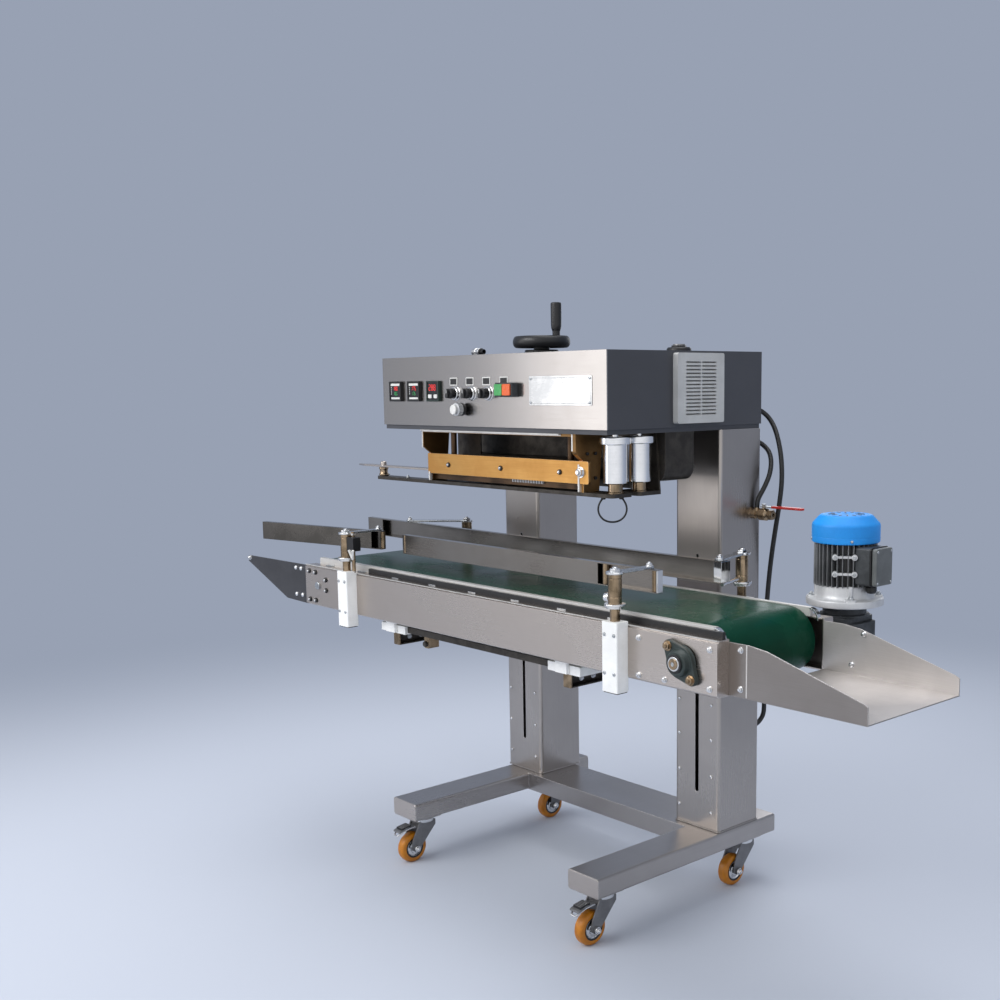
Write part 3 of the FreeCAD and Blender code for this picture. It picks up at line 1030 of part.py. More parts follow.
os.makedirs("parts", exist_ok=True)
for obj in nodes:
    obj.Shape.exportStep(os.path.join("parts", obj.Label + ".step"))
    if len(obj.Shape.Solids) != 1:
        print("solids in", obj.Label, len(obj.Shape.Solids))
print(len(nodes), "nodes written")
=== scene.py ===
import logging
import math
from collections.abc import Callable
from dataclasses import dataclass, field
from enum import Enum

import bmesh
import bpy
from mathutils import Matrix, Vector


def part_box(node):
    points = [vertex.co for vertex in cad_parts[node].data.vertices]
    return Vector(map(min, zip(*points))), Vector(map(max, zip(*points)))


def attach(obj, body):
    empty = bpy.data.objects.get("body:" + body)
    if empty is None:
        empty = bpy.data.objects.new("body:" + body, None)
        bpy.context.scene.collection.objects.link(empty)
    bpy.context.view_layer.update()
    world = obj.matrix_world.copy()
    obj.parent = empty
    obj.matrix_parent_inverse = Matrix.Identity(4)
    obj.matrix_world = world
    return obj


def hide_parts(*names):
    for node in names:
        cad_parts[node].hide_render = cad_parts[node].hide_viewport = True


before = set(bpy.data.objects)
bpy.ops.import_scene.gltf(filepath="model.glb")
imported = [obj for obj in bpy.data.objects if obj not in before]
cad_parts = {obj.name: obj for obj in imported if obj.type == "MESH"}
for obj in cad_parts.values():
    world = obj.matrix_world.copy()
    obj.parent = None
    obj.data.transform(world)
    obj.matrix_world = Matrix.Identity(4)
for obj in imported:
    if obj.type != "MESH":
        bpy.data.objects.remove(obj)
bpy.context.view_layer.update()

LOG = logging.getLogger("band_sealer")
MM = 0.001
SMOOTH_ANGLE = math.radians(36)
Point = tuple[float, float, float]
Flat = tuple[float, float]
Span = tuple[float, float]


def linear(colour: str) -> tuple[float, float, float, float]:
    """Turns an sRGB hex colour to linear values.

    Args:
        colour: The colour as #rrggbb.

    Returns:
        Red, green, blue and alpha.
    """
    parts = [int(colour[i:i + 2], 16) / 255 for i in (1, 3, 5)]
    return (*[c / 12.92 if c <= 0.04045 else ((c + 0.055) / 1.055) ** 2.4 for c in parts], 1.0)


def put(tree: bpy.types.NodeTree, kind: str, inputs: dict | None = None,
        **settings: object) -> bpy.types.Node:
    """Adds one node with its settings, and its input values or links.

    Args:
        tree: The tree that gets the node.
        kind: The node's type.
        inputs: Values or source sockets by the input's name or number.
        settings: The node's own properties.

    Returns:
        The new node.
    """
    made = tree.nodes.new(kind)
    for key, value in settings.items():
        setattr(made, key, value)
    for key, value in (inputs or {}).items():
        if isinstance(value, bpy.types.NodeSocket):
            tree.links.new(value, made.inputs[key])
        else:
            made.inputs[key].default_value = value
    return made


@dataclass(frozen=True)
class Finish:
    """One surface: what it is made of, and how its colour, gloss and grain vary.

    grain is the size in millimetres of the fine pattern along X, Y and Z, cloud that of the
    slow variation, relief the depth of the bump, and soft the radius that edges seem to have.
    edge, where given, is a lighter colour laid along rounded edges as a painted highlight.
    """

    name: str
    base: str
    cloudy: str
    rough: Span
    metallic: float = 0.0
    grain: Point = (2.0, 2.0, 2.0)
    cloud: float = 60.0
    relief: float = 0.05
    ior: float = 1.5
    coat: float = 0.0
    grain_tint: float = 0.25
    edge: str = ""
    glow: float = 0.0
    soft: float = 0.7

    def material(self) -> bpy.types.Material:
        """Builds the material once, and finds it again by name.

        Returns:
            The node material.
        """
        known = bpy.data.materials.get(self.name)
        if known:
            return known
        made = bpy.data.materials.new(self.name)
        made.use_nodes = True
        tree = made.node_tree
        tree.nodes.clear()
        place = put(tree, "ShaderNodeTexCoord").outputs["Object"]
        fine_map = put(tree, "ShaderNodeMapping",
                       {"Vector": place, "Scale": [1 / (MM * g) for g in self.grain]})
        fine = put(tree, "ShaderNodeTexNoise", {"Vector": fine_map.outputs[0], "Scale": 1.0, "Detail": 3.0,
                                                "Roughness": 0.6})
        slow = put(tree, "ShaderNodeTexNoise",
                   {"Vector": place, "Scale": 1 / (MM * self.cloud), "Detail": 4.0,
                    "Roughness": 0.55, "Distortion": 0.4})
        share = put(tree, "ShaderNodeMapRange",
                    {"Value": slow.outputs["Fac"], "From Min": 0.35, "From Max": 0.65})
        streak = put(tree, "ShaderNodeMapRange",
                     {"Value": fine.outputs["Fac"], "From Min": 0.3, "From Max": 0.7,
                      "To Min": -self.grain_tint, "To Max": self.grain_tint})
        both = put(tree, "ShaderNodeMath", {0: share.outputs[0], 1: streak.outputs[0]}, operation="ADD",
                   use_clamp=True)
        colour = put(tree, "ShaderNodeMix",
                     {0: both.outputs[0], 6: linear(self.base), 7: linear(self.cloudy)},
                     data_type="RGBA").outputs[2]
        rounded_edge = put(tree, "ShaderNodeBevel", {"Radius": self.soft * MM}, samples=4)
        # A painted highlight: the edge colour is mixed in where the bevel's rounded normal turns from the
        # flat one.
        if self.edge:
            plain = put(tree, "ShaderNodeNewGeometry")
            facing = put(tree, "ShaderNodeVectorMath",
                         {0: rounded_edge.outputs[0], 1: plain.outputs["Normal"]}, operation="DOT_PRODUCT")
            rim = put(tree, "ShaderNodeMapRange",
                      {"Value": facing.outputs["Value"], "From Min": 0.97, "From Max": 0.8,
                       "To Max": 0.6})
            colour = put(tree, "ShaderNodeMix", {0: rim.outputs[0], 6: colour, 7: linear(self.edge)},
                         data_type="RGBA").outputs[2]
        gloss = put(tree, "ShaderNodeMapRange", {"Value": both.outputs[0], "To Min": self.rough[0],
                                                 "To Max": self.rough[1]})
        relief = put(tree, "ShaderNodeBump", {"Height": fine.outputs["Fac"], "Distance": self.relief * MM,
                                              "Strength": 0.6, "Normal": rounded_edge.outputs[0]})
        shader = put(tree, "ShaderNodeBsdfPrincipled", {"Base Color": colour, "Roughness": gloss.outputs[0],
                                                        "Metallic": self.metallic,
                                                        "Normal": relief.outputs[0]})
        if not self.metallic:
            shader.inputs["IOR"].default_value = self.ior
        if self.coat:
            shader.inputs["Coat Weight"].default_value = self.coat
            shader.inputs["Coat Roughness"].default_value = 0.08
        if self.glow:
            shader.inputs["Emission Color"].default_value = linear(self.base)
            shader.inputs["Emission Strength"].default_value = self.glow
        put(tree, "ShaderNodeOutputMaterial", {"Surface": shader.outputs[0]})
        return made


class Look(Enum):
    """The finishes of this machine."""

    # Brushed stainless sheet: the belt grit leaves straight lines that stretch each highlight.
    # The real lines are 0.1 mm apart, and are drawn about 1 mm apart so that they show.
    STEEL_X = Finish("brushed_stainless_along_x", "#c5bcb5", "#bbb2ab", (0.26, 0.33), 1.0, (90, 1.1, 1.1),
                     260, 0.006, edge="#f2efec", soft=1.8)
    STEEL_Y = Finish("brushed_stainless_along_y", "#b2adaa", "#a8a3a0", (0.27, 0.34), 1.0, (1.1, 90, 1.1),
                     260, 0.006, edge="#f2efec", soft=1.8)
    STEEL_Z = Finish("brushed_stainless_along_z", "#b0aaa5", "#a6a09c", (0.27, 0.34), 1.0, (1.1, 1.1, 90),
                     260, 0.006, edge="#f2efec", soft=1.8)
    RAIL = Finish("polished_stainless_rail", "#928d87", "#7a7570", (0.16, 0.28), 1.0, (120, 1.4, 1.4), 200,
                  0.02)
    PANEL = Finish("fine_brushed_front_panel", "#adaaa8", "#a6a29f", (0.19, 0.24), 1.0, (110, 1.0, 1.0), 300,
                   0.012)
    # The chute's upward faces and the far wall's inner face, given a lighter base colour as painted light on
    # a rougher sheet, and its other walls, given a darker base colour as painted shade for the darker floor
    # they mirror.
    WORN = Finish("dulled_stainless_chute", "#d3cecb", "#c6c1be", (0.34, 0.46), 0.75, (90, 1.3, 1.3), 120,
                  0.03)
    CHUTE = Finish("brushed_stainless_chute", "#958f8b", "#8a8480", (0.28, 0.36), 1.0, (90, 1.1, 1.1), 260,
                   0.02, edge="#f2efec", soft=1.8)
    # The infeed rail, given a dark base colour as painted shade where it turns from the light, and the
    # nameplate's bare aluminium.
    SHADED = Finish("dark_burnished_rail", "#5d5a57", "#4b4946", (0.2, 0.32), 1.0, (140, 1.6, 1.6), 90, 0.02)
    PLATE = Finish("bare_aluminium_nameplate", "#d5d6d6", "#c2c4c5", (0.2, 0.3), 1.0, (30, 1.2, 1.2), 60,
                   0.01)
    # A pale satin finish that stays pale from every side: on the slider bed, and on thin strips laid along
    # edges as painted highlights.
    SATIN = Finish("satin_anodised_strip", "#dedcd8", "#cfccc8", (0.34, 0.46), 0.55, (60, 1.2, 1.2), 80, 0.02)
    # Enamelled sheet steel: a stoved satin coat with a faint orange peel about 3 mm across.
    ENAMEL = Finish("dark_grey_stoved_enamel", "#45464b", "#3f4045", (0.34, 0.44), 0.0, (3.5, 3.5, 3.5), 200,
                    0.02, grain_tint=0.1, edge="#6d6d70")
    # Thinner paint on the forks lets the metal's sheen through; the infeed wing has a dark grey,
    # half-metallic finish.
    FORK = Finish("grey_painted_fork", "#7b7b7d", "#6b6b6d", (0.3, 0.42), 0.4, (2.5, 2.5, 2.5), 26, 0.03,
                  edge="#8c8c8e")
    WING = Finish("dark_grey_painted_sheet", "#454548", "#3c3c3f", (0.28, 0.4), 0.4, (3, 3, 3), 90, 0.02,
                  edge="#98989a")
    # Zinc plate on pressed steel: bright with a bluish cloudiness about 9 mm across.
    ZINC = Finish("bright_zinc_plate", "#c9ccce", "#a4a8ac", (0.2, 0.36), 1.0, (3, 3, 3), 9, 0.02)
    CHROME = Finish("polished_chrome_plate", "#e2e2e2", "#d2d3d5", (0.06, 0.12), 1.0, (8, 8, 8), 60, 0.005)
    # Turned aluminium: the tool leaves rings round the axis, under a millimetre apart.
    TURNED_Z = Finish("turned_aluminium_about_z", "#f2f2f4", "#e2e3e5", (0.16, 0.24), 1.0, (45, 45, 0.9), 80,
                      0.006)
    # Yellow passivated steel: a thin film over zinc that runs from straw to bronze over 40 mm.
    YELLOW = Finish("yellow_passivated_steel", "#cc9b59", "#bb894a", (0.28, 0.38), 0.9, (70, 2, 2), 90, 0.015,
                    edge="#f3e9da", soft=1.5)
    # The same film on the bracket's end plates and upper part, given a darker brown as painted shade, and the
    # darker liner inside them.
    TAN = Finish("tanned_passivated_steel", "#8c6c45", "#765a38", (0.3, 0.42), 0.9, (70, 2, 2), 90, 0.015)
    BRONZE = Finish("bronzed_liner", "#5a4532", "#3a2c20", (0.3, 0.42), 0.8, (50, 2, 2), 60, 0.02)
    # Turned brass of the posts and bushes, with lines down its length that the polishing left.
    BRASS = Finish("turned_brass", "#a8937a", "#7a6a55", (0.16, 0.28), 1.0, (1.2, 1.2, 60), 30, 0.01)
    DARK_STEEL = Finish("blackened_steel", "#46413b", "#332f2b", (0.34, 0.5), 0.6, (4, 4, 4), 30, 0.04,
                        edge="#5b544a")
    # Moulded plastics: an even, slightly pebbled skin that is glossier on the white and green parts.
    BLACK = Finish("black_moulded_abs", "#17171a", "#101012", (0.3, 0.44), 0.0, (0.9, 0.9, 0.9), 50, 0.03,
                   edge="#34343a")
    GREY = Finish("light_grey_moulded_abs", "#c6c6c4", "#b9b9b7", (0.4, 0.5), 0.0, (1.1, 1.1, 1.1), 60, 0.02,
                  grain_tint=0.15)
    WHITE = Finish("white_moulded_abs", "#e4e3df", "#d9d8d3", (0.3, 0.4), 0.0, (1.2, 1.2, 1.2), 50, 0.015)
    GREEN_FRAME = Finish("dark_green_bezel", "#1a2f29", "#142721", (0.25, 0.35), 0.0, (1.2, 1.2, 1.2), 30,
                         0.01)
    # Smoked acrylic over a display, and the lit segments behind it.
    SCREEN = Finish("smoked_display_window", "#0a0a0b", "#0d0d0f", (0.06, 0.1), 0.0, (5, 5, 5), 30, 0.002,
                    coat=0.4)
    LIT_RED = Finish("lit_red_segments", "#e02a26", "#e4332a", (0.4, 0.5), 0.0, (1, 1, 1), 10, 0.0, glow=0.7)
    LIT_GREEN = Finish("lit_green_segments", "#2f9a50", "#38a65a", (0.4, 0.5), 0.0, (1, 1, 1), 10, 0.0,
                       glow=0.35)
    KEY_GREEN = Finish("green_key_cap", "#3fa055", "#37934b", (0.24, 0.34), 0.0, (1.5, 1.5, 1.5), 20, 0.01,
                       coat=0.3)
    KEY_RED = Finish("orange_key_cap", "#ea6522", "#dc5a1c", (0.24, 0.34), 0.0, (1.5, 1.5, 1.5), 20, 0.01,
                     coat=0.3)
    # Machined nylon: chalky white with faint cutter marks down its length, about 1 mm apart. Light
    # that scatters inside it and comes out elsewhere is given as a faint glow.
    NYLON = Finish("machined_nylon", "#f5f5f3", "#eaeae7", (0.42, 0.55), 0.0, (14, 14, 1.2), 40, 0.03,
                   glow=0.05)
    # Coated belt: smooth green PVC on a woven carrier, dulled in long streaks by the bags.
    BELT = Finish("green_pvc_belt", "#0a3426", "#0e3f2e", (0.2, 0.3), 0.0, (120, 2.2, 2.2), 140, 0.008,
                  ior=1.15, grain_tint=0.12)
    TREAD = Finish("amber_polyurethane_tread", "#c47a06", "#ad6803", (0.36, 0.5), 0.0, (1.5, 1.5, 1.5), 22,
                   0.03, coat=0.1)
    # Painted castings: the sand's grain, about 2 mm across, shows through the paint.
    CASTING = Finish("green_grey_enamelled_casting", "#2d3937", "#202a28", (0.38, 0.52), 0.0, (2.2, 2.2, 2.2),
                     25, 0.15, edge="#53605c")
    BLUE = Finish("blue_enamelled_fan_cowl", "#1a97ee", "#168ce0", (0.46, 0.56), 0.0, (2.5, 2.5, 2.5), 80,
                  0.02, edge="#56aee6")
    CAST_DARK = Finish("dark_painted_cast_aluminium", "#4c4f52", "#393c3f", (0.42, 0.58), 0.4,
                       (1.8, 1.8, 1.8), 30, 0.14, edge="#7d8083")
    CAST_SILVER = Finish("silver_cast_aluminium", "#d8d9da", "#c9cacc", (0.36, 0.48), 0.4, (1.8, 1.8, 1.8),
                         40, 0.06, edge="#d5d7d9")
    # The motor's fins: a mid grey, darker than the silver bell, with lighter edges as painted highlights.
    FIN = Finish("dulled_cast_fin", "#8b8c8e", "#77797b", (0.36, 0.48), 0.5, (1.8, 1.8, 1.8), 40, 0.05,
                 edge="#c9cbcd")
    BOX_LID = Finish("grey_terminal_lid", "#686b6b", "#5d6060", (0.38, 0.48), 0.1, (2, 2, 2), 30, 0.05,
                     edge="#8d9892")
    HOSE = Finish("black_rubber_hose", "#141415", "#1b1b1c", (0.36, 0.5), 0.0, (1.5, 1.5, 6), 30, 0.03)
    RED = Finish("red_dipped_vinyl", "#c9241c", "#b01a14", (0.26, 0.36), 0.0, (2, 2, 2), 20, 0.02, coat=0.2)


def dress(piece: bpy.types.Object, look: Look) -> None:
    """Gives a whole object one finish."""
    piece.data.materials.clear()
    piece.data.materials.append(look.value.material())


@dataclass(frozen=True)
class Room:
    """A CAD node's box at rest, in millimetres."""

    x0: float
    x1: float
    y0: float
    y1: float
    z0: float
    z1: float

    @classmethod
    def of(cls, node: str) -> "Room":
        """Measures a node."""
        return cls(*(v / MM for pair in zip(*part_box(node)) for v in pair))

    @property
    def x(self) -> float:
        """Middle along X."""
        return (self.x0 + self.x1) / 2

    @property
    def y(self) -> float:
        """Middle along Y."""
        return (self.y0 + self.y1) / 2

    @property
    def z(self) -> float:
        """Middle along Z."""
        return (self.z0 + self.z1) / 2


def rounded(wide: float, high: float, radius: float, at: Flat = (0, 0), steps: int = 5) -> list[Flat]:
    """Outlines a rectangle with round corners.

    Args:
        wide: Size along the outline's first axis.
        high: Size along the second.
        radius: Corner radius.
        at: The middle.
        steps: Points in each corner.

    Returns:
        The outline's points, turning left.
    """
    points = []
    for quarter, (a, b) in enumerate(((1, 1), (-1, 1), (-1, -1), (1, -1))):
        for i in range(steps):
            turn = math.pi / 2 * (quarter + i / (steps - 1))
            points.append((at[0] + a * (wide / 2 - radius) + radius * math.cos(turn),
                           at[1] + b * (high / 2 - radius) + radius * math.sin(turn)))
    return points


def circle(radius: float, at: Flat = (0, 0), sides: int = 32, start: float = 0.0) -> list[Flat]:
    """Outlines a circle or, with few sides, a regular polygon."""
    return [(at[0] + radius * math.cos(start + 2 * math.pi * i / sides),
             at[1] + radius * math.sin(start + 2 * math.pi * i / sides)) for i in range(sides)]


ORDER = {"x": lambda a, b, along: (along, a, b), "y": lambda a, b, along: (a, along, b),
         "z": lambda a, b, along: (a, b, along)}


@dataclass
class Solid:
    """Closed shells in millimetres, gathered into one piece with a finish for each shell."""

    name: str
    looks: list[Look] = field(default_factory=list)
    mesh: bmesh.types.BMesh = field(default_factory=bmesh.new)

    def add(self, shell: bmesh.types.BMesh, look: Look, bevel: float, move: Matrix | None = None) -> None:
        """Rounds a shell's sharp edges, turns its faces outwards and takes it in.

        Args:
            shell: A closed shell, freed here.
            look: Its finish.
            bevel: Radius of its edges, or 0.
            move: A turn or shift of the shell.
        """
        bmesh.ops.recalc_face_normals(shell, faces=shell.faces)
        if bevel:
            sharp = [edge for edge in shell.edges if edge.is_manifold and edge.calc_face_angle(0) > 0.5]
            bmesh.ops.bevel(shell, geom=sharp, offset=bevel, offset_type="OFFSET", segments=2, profile=0.5,
                            affect="EDGES", clamp_overlap=True)
        if move:
            bmesh.ops.transform(shell, matrix=move, verts=shell.verts)
        if look not in self.looks:
            self.looks.append(look)
        for face in shell.faces:
            face.material_index = self.looks.index(look)
            face.smooth = True
        part = bpy.data.meshes.new("shell")
        shell.to_mesh(part)
        shell.free()
        self.mesh.from_mesh(part)
        bpy.data.meshes.remove(part)

    def prism(self, outline: list[Flat], axis: str, span: Span, look: Look, bevel: float = 0.5,
              hole: list[Flat] | None = None, move: Matrix | None = None) -> None:
        """Extrudes an outline along an axis.

        Args:
            outline: Points in (y, z), (x, z) or (x, y) for the axis x, y or z.
            axis: The axis along which it runs.
            span: Where it starts and ends on that axis.
            look: Its finish.
            bevel: Radius of its edges.
            hole: A window in it, with as many points as the outline.
            move: A turn or shift.
        """
        shell = bmesh.new()
        loops = [[[shell.verts.new(ORDER[axis](a, b, end)) for a, b in line] for end in span]
                 for line in ([outline, hole] if hole else [outline])]
        count = len(outline)
        for low, high in loops:
            for i in range(count):
                shell.faces.new((low[i], low[(i + 1) % count], high[(i + 1) % count], high[i]))
        for end in (0, 1):
            if hole:
                outer, inner = loops[0][end], loops[1][end]
                for i in range(count):
                    shell.faces.new((outer[i], outer[(i + 1) % count], inner[(i + 1) % count], inner[i]))
            else:
                shell.faces.new(loops[0][end])
        self.add(shell, look, bevel, move)

    def block(self, x: Span, y: Span, z: Span, look: Look, bevel: float = 0.5,
              move: Matrix | None = None) -> None:
        """Adds a box with rounded edges."""
        self.prism([(x[0], y[0]), (x[1], y[0]), (x[1], y[1]), (x[0], y[1])], "z", z, look, bevel, move=move)

    def turned(self, section: list[Flat], axis: str, spot: Point, look: Look, sides: int = 48,
               closed: bool = False, move: Matrix | None = None) -> None:
        """Turns a section of radius and height about an axis through a spot.

        Args:
            section: Pairs of radius and height along the axis.
            axis: The axis.
            spot: Where the heights start.
            look: The finish.
            sides: Steps round.
            closed: Whether the section is a ring that closes on itself.
            move: A turn or shift.
        """
        shell = bmesh.new()
        rows = []
        for radius, height in section:
            if radius == 0:
                rows.append([shell.verts.new(ORDER[axis](0, 0, height))])
                continue
            rows.append([shell.verts.new(ORDER[axis](a, b, height)) for a, b in circle(radius, sides=sides)])
        pairs = list(zip(rows, rows[1:])) + ([(rows[-1], rows[0])] if closed else [])
        for low, high in pairs:
            for i in range(sides):
                j = (i + 1) % sides
                ring = [low[i % len(low)], low[j % len(low)], high[j % len(high)], high[i % len(high)]]
                ring = [vert for k, vert in enumerate(ring) if vert not in ring[:k]]
                if len(ring) > 2:
                    shell.faces.new(ring)
        if not closed:
            for row in (rows[0], rows[-1]):
                if len(row) > 1:
                    shell.faces.new(row)
        bmesh.ops.translate(shell, vec=spot, verts=shell.verts)
        self.add(shell, look, 0.0, move)

    def rod(self, points: list[Point], dia: float, look: Look, sides: int = 12) -> None:
        """Sweeps a round rod along a few points, with flat ends.

        Args:
            points: The rod's middle line.
            dia: Its diameter.
            look: Its finish.
            sides: Steps round.
        """
        shell = bmesh.new()
        line = [Vector(point) for point in points]
        side = None
        rows = []
        for i, spot in enumerate(line):
            ahead = (line[min(i + 1, len(line) - 1)] - line[max(i - 1, 0)]).normalized()
            side = (ahead.orthogonal() if side is None else side - ahead * side.dot(ahead)).normalized()
            up = ahead.cross(side)
            rows.append([shell.verts.new(spot + side * a + up * b) for a, b in circle(dia / 2, sides=sides)])
        for low, high in zip(rows, rows[1:]):
            for i in range(sides):
                shell.faces.new((low[i], low[(i + 1) % sides], high[(i + 1) % sides], high[i]))
        shell.faces.new(rows[0])
        shell.faces.new(rows[-1])
        self.add(shell, look, 0.0)

    def done(self, body: str, slot: str, *replaced: str) -> bpy.types.Object:
        """Turns the shells into one object at the origin, in metres, that rides on a body.

        Args:
            body: The body it rides on.
            slot: The record's material slot; not used.
            replaced: CAD nodes that it stands for.

        Returns:
            The finished piece.
        """
        bmesh.ops.scale(self.mesh, vec=(MM, MM, MM), verts=self.mesh.verts)
        data = bpy.data.meshes.new(self.name)
        self.mesh.to_mesh(data)
        self.mesh.free()
        for look in self.looks:
            data.materials.append(look.value.material())
        data.set_sharp_from_angle(angle=SMOOTH_ANGLE)
        made = bpy.data.objects.new(self.name, data)
        bpy.context.collection.objects.link(made)
        made.modifiers.new("even", "WEIGHTED_NORMAL").keep_sharp = True
        bake(made)
        return ride(made, body, slot, *replaced)


def bake(made: bpy.types.Object) -> None:
    """Puts the modifiers' result into the object's mesh and removes the modifiers."""
    bpy.context.view_layer.update()
    shown = bpy.data.meshes.new_from_object(made.evaluated_get(bpy.context.evaluated_depsgraph_get()))
    made.modifiers.clear()
    made.data = shown


def recoat(node: str, body: str, slot: str, looks: tuple[Look, Look],
           second: Callable[[Vector, Vector], bool]) -> None:
    """Stands in for a CAD node with a copy on which some faces have a second finish.

    Args:
        node: The node.
        body: The body it rides on.
        slot: The record's material slot; not used.
        looks: The first and the second finish.
        second: Says whether a face has the second finish, from its normal and its middle in millimetres.
    """
    shape = bmesh.new()
    shape.from_mesh(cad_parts[node].data)
    bmesh.ops.remove_doubles(shape, verts=shape.verts, dist=0.01 * MM)
    for face in shape.faces:
        face.material_index = int(second(face.normal, face.calc_center_median() / MM))
    data = bpy.data.meshes.new(node + "_finished")
    shape.to_mesh(data)
    shape.free()
    for look in looks:
        data.materials.append(look.value.material())
    made = bpy.data.objects.new(node + "_finished", data)
    bpy.context.collection.objects.link(made)
    ride(made, body, slot, node)


def ride(made: bpy.types.Object, body: str, slot: str, *replaced: str) -> bpy.types.Object:
    """Parents a finished piece to its body, hides the nodes it replaces and logs it."""
    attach(made, body)
    if replaced:
        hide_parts(*replaced)
    LOG.info("%s on %s: %d faces", made.name, body, len(made.data.polygons))
    return made


def new_tree(name: str, sockets: dict[str, str]) -> tuple[bpy.types.NodeTree, bpy.types.Node]:
    """Starts a Geometry Nodes tree with named inputs.

    Args:
        name: The tree's name.
        sockets: Kind of each input by its name.

    Returns:
        The tree and its input node.
    """
    tree = bpy.data.node_groups.new(name, "GeometryNodeTree")
    tree.interface.new_socket("Geometry", in_out="OUTPUT", socket_type="NodeSocketGeometry")
    for label, kind in {"Geometry": "Geometry", **sockets}.items():
        tree.interface.new_socket(label, in_out="INPUT", socket_type="NodeSocket" + kind)
    return tree, put(tree, "NodeGroupInput")


def end_tree(tree: bpy.types.NodeTree, start: bpy.types.Node, points: bpy.types.NodeSocket,
             turn: bpy.types.NodeSocket, scale: bpy.types.NodeSocket | None = None) -> bpy.types.NodeTree:
    """Puts the tree's item on its points, realizes the copies and gives them their finish."""
    item = put(tree, "GeometryNodeObjectInfo", {"Object": start.outputs["Item"]}, transform_space="ORIGINAL")
    copies = put(tree, "GeometryNodeInstanceOnPoints",
                 {"Points": points, "Instance": item.outputs["Geometry"],
                  "Rotation": turn})
    if scale:
        tree.links.new(scale, copies.inputs["Scale"])
    whole = put(tree, "GeometryNodeRealizeInstances", {"Geometry": copies.outputs[0]})
    finish = put(tree, "GeometryNodeSetMaterial",
                 {"Geometry": whole.outputs[0], "Material": start.outputs["Finish"]})
    put(tree, "NodeGroupOutput", {"Geometry": finish.outputs[0]})
    return tree


def screws_tree() -> bpy.types.NodeTree:
    """A head on every point, along the point's aim, as large as its size and turned at random."""
    tree, start = new_tree("screws", {"Item": "Object", "Finish": "Material", "Seed": "Int"})
    aim = put(tree, "GeometryNodeInputNamedAttribute", {"Name": "aim"}, data_type="FLOAT_VECTOR")
    size = put(tree, "GeometryNodeInputNamedAttribute", {"Name": "size"}, data_type="FLOAT")
    along = put(tree, "FunctionNodeAlignRotationToVector", {"Vector": aim.outputs["Attribute"]}, axis="Z")
    slack = put(tree, "FunctionNodeRandomValue", {"Max": 6.28, "Seed": start.outputs["Seed"]},
                data_type="FLOAT")
    spin = put(tree, "FunctionNodeAxisAngleToRotation", {"Axis": (0, 0, 1), "Angle": slack.outputs[1]})
    turn = put(tree, "FunctionNodeRotateRotation",
               {"Rotation": along.outputs[0], "Rotate By": spin.outputs[0]}, rotation_space="LOCAL")
    return end_tree(tree, start, start.outputs["Geometry"], turn.outputs[0], size.outputs["Attribute"])


def ring_tree() -> bpy.types.NodeTree:
    """Copies of an item on a circle about Z, each turned to face outwards."""
    tree, start = new_tree("ring",
                           {"Item": "Object", "Finish": "Material", "Count": "Int", "Radius": "Float"})
    spots = put(tree, "GeometryNodeMeshCircle",
                {"Vertices": start.outputs["Count"], "Radius": start.outputs["Radius"]})
    index = put(tree, "GeometryNodeInputIndex")
    step = put(tree, "ShaderNodeMath", {0: 2 * math.pi, 1: start.outputs["Count"]}, operation="DIVIDE")
    angle = put(tree, "ShaderNodeMath", {0: index.outputs[0], 1: step.outputs[0]}, operation="MULTIPLY")
    turn = put(tree, "FunctionNodeAxisAngleToRotation", {"Axis": (0, 0, 1), "Angle": angle.outputs[0]})
    return end_tree(tree, start, spots.outputs[0], turn.outputs[0])


def row_tree() -> bpy.types.NodeTree:
    """Copies of an item in a straight row."""
    tree, start = new_tree("row", {"Item": "Object", "Finish": "Material", "Count": "Int", "Pitch": "Vector"})
    spots = put(tree, "GeometryNodeMeshLine",
                {"Count": start.outputs["Count"], "Offset": start.outputs["Pitch"]}, mode="OFFSET")
    turn = put(tree, "FunctionNodeAxisAngleToRotation", {"Angle": 0.0})
    return end_tree(tree, start, spots.outputs[0], turn.outputs[0])


def item_of(shells: Solid) -> bpy.types.Object:
    """Makes the shells a helper object for a tree, in metres about the origin."""
    data = bpy.data.meshes.new(shells.name)
    bmesh.ops.scale(shells.mesh, vec=(MM, MM, MM), verts=shells.mesh.verts)
    shells.mesh.to_mesh(data)
    shells.mesh.free()
    data.set_sharp_from_angle(angle=SMOOTH_ANGLE)
    made = bpy.data.objects.new(shells.name, data)
    bpy.context.collection.objects.link(made)
    return made


def grow(name: str, tree: bpy.types.NodeTree, item: bpy.types.Object, look: Look,
         base: bpy.types.Mesh | None = None, turn: Matrix | None = None,
         **inputs: object) -> bpy.types.Object:
    """Runs a tree, bakes what it makes and removes its helpers.

    Args:
        name: The piece's name.
        tree: The Geometry Nodes tree.
        item: What it repeats, removed here.
        look: The finish of the copies.
        base: The mesh that the tree starts from.
        turn: Where the result goes, in metres.
        inputs: The tree's other inputs by name.

    Returns:
        The baked piece at the origin.
    """
    made = bpy.data.objects.new(name, base or bpy.data.meshes.new(name))
    bpy.context.collection.objects.link(made)
    dress(item, look)
    modifier = made.modifiers.new("repeat", "NODES")
    modifier.node_group = tree
    values = {"Item": item, "Finish": look.value.material(), **inputs}
    for socket in tree.interface.items_tree:
        if socket.in_out == "INPUT" and socket.name in values:
            modifier[socket.identifier] = values[socket.name]
    bake(made)
    bpy.data.objects.remove(item)
    if turn:
        made.data.transform(turn)
    return made


